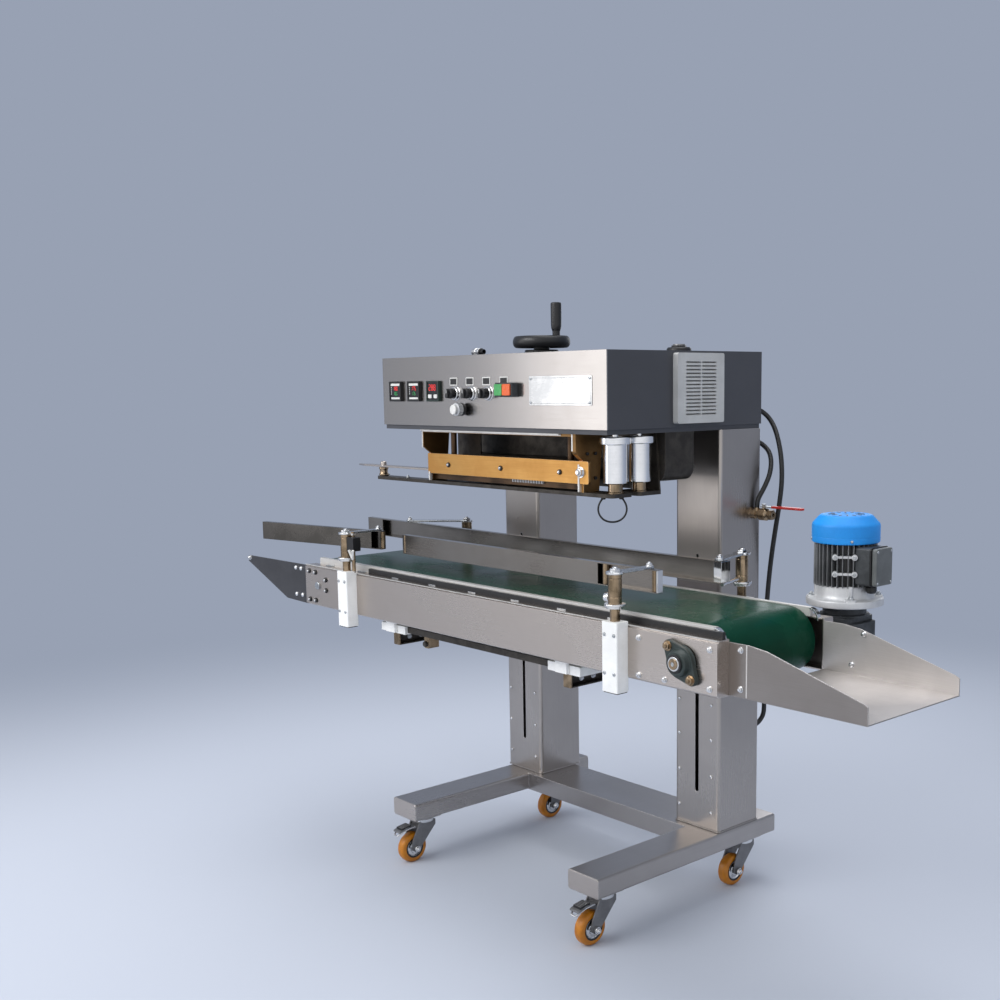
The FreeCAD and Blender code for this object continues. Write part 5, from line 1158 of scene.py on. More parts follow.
    def bolts(self) -> None:
        """Places the bolts of the side channels, the wing, the chute and the blocks."""
        side = Room.of("conveyor_side_front")
        face = side.y0
        wing = Room.of("infeed_wing")
        chute = Room.of("discharge_chute")
        block = Room.of("post_block_left")
        self.screws.add("conveyor", Head.HEX, Look.CHROME, 10, FRONT,
                        *[(side.x1 + dx, face, side.z0 + dz) for dx, dz in ((-194, 84), (-194, 12),
                                                                            (-127, 14), (-17, 87),
                                                                            (-17, 15))])
        cover = [(side.x0 + dx, side.z0 + dz) for dx, dz in ((19, 89), (49, 88), (20, 15), (48, 15), (98, 73),
                                                             (99, 46))]
        # Each black pan head carries a small chrome hex in front: a painted highlight on the black bolt head.
        self.screws.add("conveyor", Head.PAN, Look.BLACK, 13, FRONT, *[(x, face, z) for x, z in cover])
        self.screws.add("conveyor", Head.HEX, Look.CHROME, 7, FRONT, *[(x, face - 3, z) for x, z in cover])
        self.screws.add("conveyor", Head.DOME, Look.CHROME, 12, FRONT,
                        *[(wing.x1 + dx, wing.y0, side.z0 + dz) for dx, dz in ((-53, 90), (-27, 90),
                                                                               (-53, 20), (-23, 21))])
        self.screws.add("conveyor", Head.HEX, Look.CHROME, 12, FRONT, (wing.x0 + 11, wing.y0, side.z0 + 93))
        self.screws.add("conveyor", Head.HEX, Look.CHROME, 10, FRONT,
                        *[(chute.x0 + 27, chute.y0, side.z0 + dz) for dz in (88, 17)])
        self.screws.add("conveyor", Head.HEX, Look.ZINC, 9, BACK,
                        *[(chute.x0 + 27, chute.y1, side.z0 + dz) for dz in (88, 17)])
        self.screws.add("conveyor", Head.HEX, Look.CHROME, 10, FRONT,
                        *[(chute.x0 + dx, chute.y1 - 2, side.z0 + dz) for dx, dz in ((92, 85), (66, 22))])
        # A thin pale line down the chute's front wall: a painted highlight.
        highlight_line = Solid("chute_fold")
        highlight_line.block((chute.x0 + 39, chute.x0 + 42), (chute.y0 - 0.7, chute.y0 + 0.4),
                   (chute.z0 + 2, chute.z1 - 1), Look.SATIN, 0.4)
        highlight_line.done("conveyor", "stainless")
        for room in (block, Room.of("post_block_right")):
            self.screws.add("conveyor", Head.PAN, Look.ZINC, 7.5, FRONT,
                            *[(room.x + dx, room.y0, side.z0 + dz) for dx in (-13, 13) for dz in (86, 11)])
        rear = Room.of("conveyor_side_rear")
        self.screws.add("conveyor", Head.HEX, Look.CHROME, 10, BACK,
                        *[(rear.x0 + dx, rear.y1, rear.z0 + dz) for dx in (30, 1388) for dz in (18, 88)])

    def build(self) -> None:
        """Makes all of it."""
        for side in ("left", "right"):
            for end in ("front", "rear"):
                self.post(side, end)
        self.blocks()
        self.rails()
        self.bolts()
        chute = Room.of("discharge_chute")
        # Upward faces and the far wall's inner face take the lighter finish as painted light; the rest take
        # the darker one as painted shade.
        recoat("discharge_chute", "conveyor", "stainless", (Look.CHUTE, Look.WORN),
               lambda way, spot: way.z > 0.5 or (way.y < -0.5 and spot.y > chute.y))


@dataclass
class Chassis:
    """Base, columns, casters and the supports under the conveyor."""

    screws: Fasteners

    def caster(self, tag: str) -> None:
        """Finishes one caster: tread, hub disc and bearing boss, swivel ring and, in front, the brake."""
        wheel = Room.of("caster_wheel_" + tag)
        fork = Room.of("caster_fork_" + tag)
        tyre = (wheel.z1 - wheel.z0) / 2
        wide = wheel.x1 - wheel.x0
        made = Solid("caster_tyre_" + tag)
        made.turned([(tyre - 12, 1.4), (tyre - 7, 1.2), (tyre - 3.5, 2.4), (tyre - 0.9, 5.2), (tyre, 9),
                     (tyre, wide - 9),
                     (tyre - 0.9, wide - 5.2), (tyre - 3.5, wide - 2.4), (tyre - 7, wide - 1.2),
                     (tyre - 12, wide - 1.4)], "x", (wheel.x0, wheel.y, wheel.z), Look.TREAD, 72, closed=True)
        made.turned([(tyre - 16, 2), (tyre - 12.5, 0.6), (tyre - 12, 2), (tyre - 12, wide - 2),
                     (tyre - 12.5, wide - 0.6),
                     (tyre - 16, wide - 2)], "x", (wheel.x0, wheel.y, wheel.z), Look.BLACK, 64, closed=True)
        made.turned([(5.4, 0.5), (12, 0.4), (13, 3.6), (19, 4.4), (tyre - 16.5, 2.2), (tyre - 16, 4),
                     (tyre - 16, wide - 4), (tyre - 16.5, wide - 2.2), (19, wide - 4.4), (13, wide - 3.6),
                     (12, wide - 0.4),
                     (5.4, wide - 0.5)], "x", (wheel.x0, wheel.y, wheel.z), Look.CHROME, 56, closed=True)
        made.done("wheel_" + tag, "tread", "caster_wheel_" + tag)

        swivel = Solid("caster_swivel_" + tag)
        middle = fork.y1 - 26
        swivel.turned([(18, -12.6), (27, -12.4), (27.6, -9), (27.4, -5), (25.6, -3.2), (22, -2.4),
                       (18, -2.6)], "z", (fork.x, middle, fork.z1), Look.CHROME, 56, closed=True)
        swivel.done("fork_" + tag, "zinc")
        ring = circle(17.5, (fork.x, middle), 6, 0.5)
        self.screws.add("fork_" + tag, Head.RIVET, Look.ZINC, 5, DOWN,
                        *[(a, b, fork.z1 - 24) for a, b in ring if b < middle - 6])
        for side in (fork.x0 + 4.5, fork.x1 - 4.5):
            aim = (1 if side > fork.x else -1, 0, 0)
            self.screws.add("fork_" + tag, Head.HEX, Look.CHROME, 13, aim,
                            (side + 3 * aim[0], wheel.y, wheel.z))
        if tag.endswith("front"):
            self.brake(tag, fork, wheel)

    def brake(self, tag: str, fork: Room, wheel: Room) -> None:
        """Adds a brake's ribbed tread pad, its two prongs and the shoe above the wheel."""
        made = Solid("brake_prongs_" + tag)
        top = fork.z1 - 21
        for side in (-1, 1):
            x = wheel.x + side * 12.5
            made.rod([(x, fork.y1 - 46, top - 2), (x, fork.y0 + 42, top + 1), (x, fork.y0 + 22, top - 1),
                      (x - side * 3, fork.y0 + 4, top - 8), (x - side * 6, fork.y0 - 3, top - 13)], 4.2,
                     Look.CHROME)
        made.rod([(wheel.x - 7, fork.y0 - 2.5, top - 13), (wheel.x + 7, fork.y0 - 2.5, top - 13)], 4.2,
                 Look.CHROME)
        made.done("fork_" + tag, "zinc")
        pad = Solid("brake_pad_" + tag)
        lean = Matrix.Rotation(math.radians(7), 4, "X")
        tilt = Matrix.Translation((wheel.x, fork.y0 + 22, top + 2.5)) @ lean
        pad.prism(rounded(26, 30, 4), "z", (-1, 3.4), Look.BLACK, 0.8, move=tilt)
        pad.done("fork_" + tag, "black_plastic")
        rib = Solid("rib")
        rib.block((-11, 11), (-0.9, 0.9), (3, 4.6), Look.FORK, 0.5)
        ribs = grow("brake_ribs_" + tag, row_tree(), item_of(rib), Look.FORK, Count=6, Pitch=(0, 4.6 * MM, 0),
                    turn=Matrix.Scale(1, 4) @ Matrix.Translation([MM * v for v in tilt.translation])
                    @ Matrix.Rotation(math.radians(7), 4, "X") @ Matrix.Translation((0, -11.5 * MM, 0)))
        ride(ribs, "fork_" + tag, "black_plastic")

    def plates(self) -> None:
        """Adds the feet's welded end caps, the columns' welds and screws, and the grommets on the columns'
        backs.
        """
        base = Room.of("base_frame")
        caps = Solid("foot_end_caps")
        for foot in ("left", "right"):
            fork = Room.of("caster_fork_%s_front" % foot)
            for y, thick in ((base.y0, -1.2), (base.y1, 1.2)):
                caps.prism(rounded(93, 42, 5, (fork.x, base.z1 - 22)), "y",
                           (min(y, y + thick), max(y, y + thick)), Look.STEEL_X, 0.5)
        caps.done("frame", "stainless")
        weld = Solid("column_welds")
        for side in ("left", "right"):
            column = Room.of("column_" + side)
            wide, deep = column.x1 - column.x0, column.y1 - column.y0
            weld.prism(rounded(wide + 5, deep + 5, 10, (column.x, column.y)), "z",
                       (column.z0, column.z0 + 3.2),
                       Look.STEEL_Z, 1.2, rounded(wide - 1, deep - 1, 8, (column.x, column.y)))
        weld.done("frame", "stainless")
        left, right = Room.of("column_left"), Room.of("column_right")
        for column, heights in ((left, (378, 291, 204)), (right, (459, 377, 290, 204))):
            for x in (column.x0 + 14, column.x1 - 23):
                self.screws.add("frame", Head.PAN, Look.CHROME, 8.5, FRONT,
                                *[(x, column.y0, column.z0 + z - 161) for z in heights])
        for column in (left, right):
            grommet = Solid("column_grommet_%s" % ("left" if column is left else "right"))
            for z, x in ((1060, 290), (380, 300)) if column is right else ((380, column.x),):
                grommet.turned([(6.2, 0), (10.5, 0), (11, 1), (10, 3.4), (7.6, 4.2), (6.2, 4.2)], "y",
                               (x, column.y1, z), Look.BLACK, 32, closed=True)
            if column is left:
                grommet.turned([(0, 0), (7, 0), (7, 2.2), (0, 3)], "y", (column.x, column.y1, 380),
                               Look.BLACK, 24)
            grommet.done("frame", "black_plastic")

    def supports(self) -> None:
        """Rebuilds both supports: a white nylon pad on a dark channel with a brass end."""
        for side in ("left", "right"):
            column = Room.of("column_" + side)
            whole = Room.of("conveyor_support_" + side)
            x = column.x
            low, arm_top, pad_top = whole.z0 + 4, whole.z0 + 36, whole.z0 + 56
            pad_front = whole.y0 + 18
            arm_bolt = 9.5
            made = Solid("conveyor_arm_" + side)
            made.prism([(x - 11, low), (x + 11, low), (x + 11, low + 3), (x - 8, low + 3),
                        (x - 8, arm_top - 3),
                        (x + 11, arm_top - 3), (x + 11, arm_top), (x - 11, arm_top)], "y",
                       (pad_front + 3, column.y0 - 7), Look.DARK_STEEL, 0.5)
            made.prism(rounded(23, arm_top - low + 1, 2, (x, (low + arm_top + 1) / 2)), "y",
                       (pad_front, pad_front + 4), Look.BRASS, 0.5)
            made.prism(rounded(100, pad_top - arm_top, 1.5, (x, (arm_top + pad_top) / 2)), "y",
                       (whole.y0 + 9, whole.y0 + 284), Look.NYLON, 0.6)
            for strap_low, strap_high in ((whole.y0, whole.y0 + 8), (whole.y0 + 288, whole.y0 + 296)):
                made.block((x - 18, x + 18), (strap_low, strap_high), (pad_top - 18, whole.z1 - 2),
                           Look.NYLON, 0.6)
            made.block((x - 18, x + 18), (whole.y0 + 284, whole.y0 + 296), (arm_top + 0.4, pad_top - 0.4),
                       Look.NYLON, 0.5)
            made.prism(rounded(100, 72, 8, (x, low + 32)), "y", (column.y0 - 8.3, column.y0 - 3.8),
                       Look.STEEL_Z, 0.6)
            made.block((x - 5.2, x + 5.2), (column.y0 - 4.2, column.y0 + 4.3), (low + 10, arm_top + 20),
                       Look.ZINC, 0.3)
            made.block((x - 40, x + 40), (column.y0 + 3.3, column.y0 + 11.3), (low + 10, arm_top + 20),
                       Look.ZINC, 0.6)
            if side == "right":
                left = Room.of("conveyor_support_left")
                made.block((left.x1, x - 49), (pad_front - 2, pad_front + 10), (arm_top + 4, arm_top + 19),
                           Look.DARK_STEEL, 0.8)
                lug = left.x + 115
                made.prism(rounded(18, 32, 3, (lug + 9, arm_top - 7)), "y", (pad_front, pad_front + 30),
                           Look.BRASS, 0.5)
                made.turned([(0, 0), (6, 0), (7, 2), (7, 8), (0, 8)], "y",
                            (lug + 9, pad_front - 7, arm_top - 12), Look.DARK_STEEL, 24)
            made.done("conveyor", "dark_steel", "conveyor_support_" + side)
            self.screws.add("conveyor", Head.HEX, Look.ZINC, arm_bolt, RIGHT,
                            (x + 11, pad_front + 30, arm_top - 14), (x + 11, pad_front + 64, arm_top - 14))
            for z in (low + 4, low + 58):
                for dx in (-38, 38):
                    self.screws.add("conveyor", Head.HEX, Look.ZINC, 12, FRONT, (x + dx, column.y0 - 8.3, z))

    def build(self) -> None:
        """Makes all of it."""
        for side in ("left", "right"):
            for end in ("front", "back"):
                self.caster(side + "_" + end)
        self.plates()
        self.supports()


@dataclass
class Valve:
    """Ball valve on the right column, with its red lever."""

    screws: Fasteners

    def build(self) -> None:
        """Makes the brass body with its hexagon ends, and the lever that turns on it."""
        room = Room.of("valve_body")
        lever = Room.of("valve_lever")
        y, z = room.y, room.z0 + 14
        made = Solid("ball_valve_body")
        made.turned([(0, 0), (11, 0), (11, 6), (9, 7), (9, 15), (13.4, 18.6), (14, 20), (14, 36),
                     (13.4, 37.4), (9, 41), (9, 44), (0, 44)], "x", (room.x0, y, z), Look.BRASS, 40)
        made.prism(circle(12.6, (y, z), 6), "x", (room.x0 + 44, room.x0 + 53), Look.BRASS, 0.8,
                   hole=circle(4.0, (y, z), 6))
        made.prism(circle(12.6, (y, z), 6), "x", (room.x0 + 1, room.x0 + 8), Look.BRASS, 0.8)
        made.turned([(4.0, 0), (9, 0), (9, 3), (4.0, 3)], "x", (room.x1 - 3, y, z), Look.BRASS, 32,
                    closed=True)
        stem = room.x0 + 28
        made.turned([(0, 0), (6.5, 0), (6.5, 14.4), (3.8, 14.8), (3.8, 23.6), (0, 24)], "z", (stem, y, z),
                    Look.BRASS, 28)
        made.turned([(0, 0), (6.4, 0), (6.4, 14.4), (0, 14.4)], "z", (room.x0 + 8, y, z), Look.BRASS, 28)
        made.prism(circle(5.6, (stem, y), 6), "z", (z + 20.5, z + 24), Look.ZINC, 0.5)
        made.done("frame", "yellow_zinc", "valve_body")
        grip = Solid("ball_valve_lever")
        plate = [(stem + dx, y + dy) for dx, dy in ((-7, -5), (-4, -7.5), (9, -7.5), (22, -6), (34, -5.5),
                                                    (34, 5.5), (22, 6), (9, 7.5), (-4, 7.5), (-7, 5))]
        hole = [(stem + 4.4 * math.cos(a), y + 4.4 * math.sin(a)) for a in
                (math.atan2(py - y, px - stem - 1) for px, py in plate)]
        grip.prism(plate, "z", (lever.z0 + 0.6, lever.z1 - 0.8), Look.ZINC, 0.3, hole=hole)
        grip.prism([(lever.x0 + 32, y - 5.8), (lever.x0 + 46, y - 7), (lever.x1 - 6, y - 7.2),
                    (lever.x1 - 1, y - 5),
                    (lever.x1, y), (lever.x1 - 1, y + 5), (lever.x1 - 6, y + 7.2), (lever.x0 + 46, y + 7),
                    (lever.x0 + 32, y + 5.8)], "z", (lever.z0 - 0.6, lever.z1 + 0.8), Look.RED, 1.3)
        grip.done("valve_lever", "red_grip", "valve_lever")


@dataclass
class Drive:
    """Gearbox, upright motor and the drive shaft's bearing."""

    screws: Fasteners

    def motor(self) -> None:
        """Builds the motor up from its flange: bell, finned body, blue fan cowl and terminal box."""
        room = Room.of("motor")
        x, y = room.x0 + 78, room.y
        low = room.z0
        made = Solid("drive_motor")
        made.turned([(0, 0), (50, 0), (50, 4), (44, 6), (44, 20), (50, 24), (0, 24)], "z", (x, y, low),
                    Look.CAST_DARK, 56)
        made.turned([(0, 23), (76, 23), (77.6, 24.2), (78, 26), (78, 35), (77, 37), (74, 38), (62, 38),
                     (60, 39.5),
                     (58, 43), (57.5, 50), (56, 62), (55, 64), (0, 64)], "z", (x, y, low), Look.CAST_SILVER,
                    72)
        for i in range(4):
            around = Matrix.Translation((x, y, low)) @ Matrix.Rotation(math.radians(45 + 90 * i), 4, "Z")
            made.prism(rounded(14, 12, 4, (55, 0)), "z", (38, 66), Look.CAST_SILVER, 1.0, move=around)
            made.prism(rounded(20, 22, 6, (66, 0)), "z", (30, 41), Look.CAST_SILVER, 1.0, move=around)
        made.turned([(0, 60), (49, 60), (49, 154), (0, 154)], "z", (x, y, low), Look.BLACK, 64)
        pad = Matrix.Translation((x, y, low)) @ Matrix.Rotation(math.radians(-56), 4, "Z")
        for z in (91, 125):
            made.prism(rounded(48, 5, 2, (0, z)), "x", (48, 62), Look.CAST_SILVER, 0.8, move=pad)
            for across in (-19, 19):
                made.prism(circle(6, (across, z), 12), "x", (48, 64), Look.CAST_SILVER, 0.8, move=pad)
        made.turned([(60, 150), (66, 150), (67.4, 151), (68, 153), (68, 162), (67.4, 163), (68, 164),
                     (68, 184),
                     (67.2, 187.5), (65, 190.5), (54, 202.5), (51.5, 204.6), (48, 205.4), (9, 205.8),
                     (7, 204.4), (0, 204.4), (0, 200), (60, 160)], "z", (x, y, low), Look.BLUE, 96)
        made.turned([(0, 0), (6.4, 0), (6.4, 1), (0, 1.2)], "z", (x, y, low + 204.2), Look.BLACK, 24)
        self.terminals(made, x, y, low)
        made.done("conveyor", "motor_paint", "motor")
        fin = Solid("fin")
        fin.prism([(48, -1.5), (61, -0.9), (63, -0.6), (63, 0.6), (61, 0.9), (48, 1.5)], "z", (63, 151),
                  Look.FIN, 0.3)
        fins = grow("motor_fins", ring_tree(), item_of(fin), Look.FIN, Count=36, Radius=0.0,
                    turn=Matrix.Translation((x * MM, y * MM, low * MM)))
        ride(fins, "conveyor", "aluminium")
        slot = Solid("slot")
        slot.prism(rounded(14, 3.4, 1.6, (30, 0)), "z", (205.2, 206.2), Look.BLACK, 0.2)
        vents = grow("fan_cowl_vents", ring_tree(), item_of(slot), Look.BLACK, Count=14, Radius=0.0,
                     turn=Matrix.Translation((x * MM, y * MM, low * MM)))
        ride(vents, "conveyor", "black_plastic")
        for i in range(4):
            turn = math.radians(45 + 90 * i)
            side = (math.cos(turn), math.sin(turn), 0)
            self.screws.add("conveyor", Head.HEX, Look.ZINC, 11, UP,
                            (x + 68 * side[0], y + 68 * side[1], low + 41))
            self.screws.add("conveyor", Head.PAN, Look.ZINC, 6, side,
                            (x + 68 * side[0], y + 68 * side[1], low + 157))
        for across in (-19, 19):
            for z in (91, 125):
                spot = pad @ Vector((64, across, z))
                self.screws.add("conveyor", Head.SOCKET, Look.ZINC, 6,
                                tuple(pad.to_3x3() @ Vector((1, 0, 0))), tuple(spot))

    def terminals(self, made: Solid, x: float, y: float, low: float) -> None:
        """Adds the terminal box with its lid, gland and neck on the right of the motor."""
        middle, high = (y - 8, low + 108), low + 108
        made.prism(rounded(58, 76, 5, middle), "x", (x + 48, x + 82), Look.CAST_DARK, 1.5)
        made.prism(rounded(60, 78, 6, middle), "x", (x + 82.4, x + 86), Look.BLACK, 0.8)
        made.prism(rounded(57, 75, 5, middle), "x", (x + 86, x + 98), Look.BOX_LID, 4.0)
        made.turned([(0, -18), (8, -18), (11, -14), (11, -6), (9, -5), (9, 0), (0, 0)], "z",
                    (x + 68, y - 8, high - 37.5), Look.BLACK, 24)
        for dy in (-23, 23):
            for dz in (-31, 31):
                self.screws.add("conveyor", Head.PAN, Look.ZINC, 5.5, RIGHT, (x + 97, y - 8 + dy, high + dz))

    def gearbox(self) -> None:
        """Builds the worm gearbox with its ribs, side covers, flange neck and oil plugs."""
        room = Room.of("gearbox")
        side = Room.of("conveyor_side_rear")
        y = room.y0 + 103
        shaft = Room.of("drive_roller")
        x, z = shaft.x, shaft.z
        made = Solid("worm_gearbox")
        made.prism(rounded(79 + 37, 80, 12, ((x - 10 + room.x1 - 6) / 2 + 0.5, y)), "z",
                   (room.z0 + 4, room.z1 - 10), Look.CAST_DARK, 2.0)
        made.prism(rounded(96, 96, 20, (room.x1 - 44, y)), "z", (room.z1 - 10, room.z1), Look.CAST_DARK, 1.2)
        made.turned([(0, 0), (26, 0), (27, 2), (27, 15), (31, 20), (34, 46), (36, 58), (0, 58)], "y",
                    (x, side.y1, z), Look.CAST_DARK, 48)
        made.turned([(0, 0), (31, 0), (33, 1.5), (33, 5), (30, 7), (14, 8.5), (12, 6.5), (0, 6.5)], "y",
                    (x, room.y1 - 7.5, z), Look.CAST_DARK, 48)
        made.block((room.x0, room.x1 - 2), (y - 34, y + 34), (room.z0, room.z0 + 8), Look.CAST_DARK, 1.5)
        made.prism(circle(7, (x + 36, room.z0 + 52), 6), "y", (y - 44, y - 39), Look.BRASS, 0.6)
        made.prism(circle(7, (y, z - 20), 6), "x", (room.x1 - 7, room.x1 - 1), Look.BRASS, 0.6)
        made.done("conveyor", "aluminium", "gearbox")
        rib = Solid("rib")
        rib.block((-1.6, 1.6), (-42, 42), (-26, 26), Look.CAST_DARK, 0.8)
        ribs = grow("gearbox_ribs", row_tree(), item_of(rib), Look.CAST_DARK, Count=5, Pitch=(14 * MM, 0, 0),
                    turn=Matrix.Translation(((x + 8) * MM, y * MM, (room.z0 + 42) * MM)))
        ride(ribs, "conveyor", "aluminium")
        self.screws.add("conveyor", Head.HEX, Look.ZINC, 9, BACK,
                        *[(x + a, room.y1 - 2.5, z + b) for a, b in circle(24, sides=4, start=0.78)])

    def bearing(self) -> None:
        """Builds the two-bolt bearing: a cast flange with rounded lobes, a ring and the shaft's end."""
        room = Room.of("flange_bearing")
        x, z, back = room.x, room.z, room.y1
        outline = []
        for middle, radius, start, sweep in (((-28, 28), 11.5, 75, 120), ((0, 0), 31, 195, 60),
                                             ((28, -28), 11.5, 255, 120), ((0, 0), 31, 15, 60)):
            outline += [(x + middle[0] + radius * math.cos(math.radians(start + sweep * i / 8)),
                         z + middle[1] + radius * math.sin(math.radians(start + sweep * i / 8)))
                        for i in range(9)]
        made = Solid("two_bolt_bearing")
        made.prism(outline, "y", (back - 11, back), Look.CASTING, 2.2)
        made.turned([(0, 0), (21, 0), (23.5, 2), (25, 8), (27.5, 13), (31, 17), (33, 20), (0, 20)], "y",
                    (x, room.y0 + 2, z), Look.CASTING, 56)
        made.turned([(11.4, 0), (16.5, 0), (17.2, 0.8), (17.2, 5), (11.4, 5)], "y", (x, room.y0 - 1.6, z),
                    Look.BLACK, 40, closed=True)
        made.turned([(10.3, 0), (13, 0), (13.4, 0.5), (13.4, 6), (10.3, 6)], "y", (x, room.y0 - 3.2, z),
                    Look.CHROME, 40, closed=True)
        made.done("conveyor", "bearing_green", "flange_bearing")
        end = Solid("drive_shaft_end")
        end.turned([(4, 0.2), (9.2, 0), (10.15, 1), (10.15, 14), (4, 14)], "y", (x, room.y0 - 5.6, z),
                   Look.BRASS, 40, closed=True)
        end.turned([(0, 2.4), (4.1, 2.4), (4.1, 6), (0, 6)], "y", (x, room.y0 - 5.6, z), Look.DARK_STEEL, 6)
        end.done("conveyor", "yellow_zinc")
        for dx, dz in ((-28, 28), (28, -28)):
            self.screws.add("conveyor", Head.HEX, Look.BRASS, 16, FRONT, (x + dx, back - 11, z + dz))

    def build(self) -> None:
        """Makes all of it."""
        self.motor()
        self.gearbox()
        self.bearing()


HOSE_DIA = 11.0
LEAD_DIA = 4.0
HOSE_OUTER: list[Point] = [
    (300, 285.2, 1130), (300, 296, 1130), (302, 307, 1127), (306, 318, 1121), (315, 327, 1110),
    (330, 328, 1091), (348, 321, 1063), (364, 314, 1021), (371, 309, 967), (366, 306, 911),
    (357, 304, 854), (348, 303, 796), (340, 304, 739), (334, 305, 681), (329, 307, 624),
    (324, 309, 568), (319, 312, 514), (315, 318, 466), (313, 326, 429), (309, 328, 403),
    (304, 319, 388), (302, 307, 382), (300, 296, 380), (300, 285.2, 380)]
HOSE_INNER: list[Point] = [
    (290, 285.2, 1060), (290, 295, 1060), (292, 305, 1057), (297, 316, 1052), (308, 323, 1043),
    (324, 321, 1030), (339, 310, 1009), (347, 295, 982), (346, 281, 958), (342, 271, 940),
    (338, 265, 927), (337, 262.5, 916.5), (337, 262, 906.7)]
LEAD_LOOP: list[Point] = [
    (264.2, -154, 953.7), (261.5, -157, 948.5), (257.4, -161.4, 938), (256.4, -162.5, 925),
    (260.1, -158.4, 912), (267.5, -150.3, 903.5), (277, -140, 901), (286.5, -129.7, 903.5),
    (293.9, -121.6, 912), (297.6, -117.5, 925), (296.6, -118.6, 938), (292.5, -123, 948.5),
    (289.8, -126, 953.7)]


@dataclass
class Cords:
    """The two air hoses behind the machine and the thin lead under the sealing unit."""

    resolution: int = 6

    def line(self, name: str, points: list[Point], dia: float) -> bpy.types.Object:
        """Makes one smooth cord on its route.

        Args:
            name: The piece's name.
            points: Control points in millimetres.
            dia: Diameter in millimetres.

        Returns:
            The curve object.
        """
        curve = bpy.data.curves.new(name, "CURVE")
        curve.dimensions = "3D"
        spline = curve.splines.new("NURBS")
        spline.points.add(len(points) - 1)
        for spot, point in zip(spline.points, points):
            spot.co = (*[MM * v for v in point], 1.0)
        spline.order_u = 3
        spline.use_endpoint_u = True
        spline.resolution_u = self.resolution
        curve.bevel_depth = dia * MM / 2
        curve.bevel_resolution = 5
        curve.use_fill_caps = True
        made = bpy.data.objects.new(name, curve)
        bpy.context.collection.objects.link(made)
        return made

    def build(self) -> None:
        for name, node, points, dia, length, stiff in (
                ("air_hose_outer", "hose_outer", HOSE_OUTER, HOSE_DIA, 0.830, "stiff"),
                ("air_hose_inner", "hose_inner", HOSE_INNER, HOSE_DIA, 0.212, "stiff"),
                ("lead_loop", "cable_loop", LEAD_LOOP, LEAD_DIA, 0.145, "medium")):
            made = self.line(name, points, dia)
            dress(made, Look.HOSE)
            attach(made, "frame")
            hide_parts(node)
            LOG.info("%s: %d points", name, len(points))


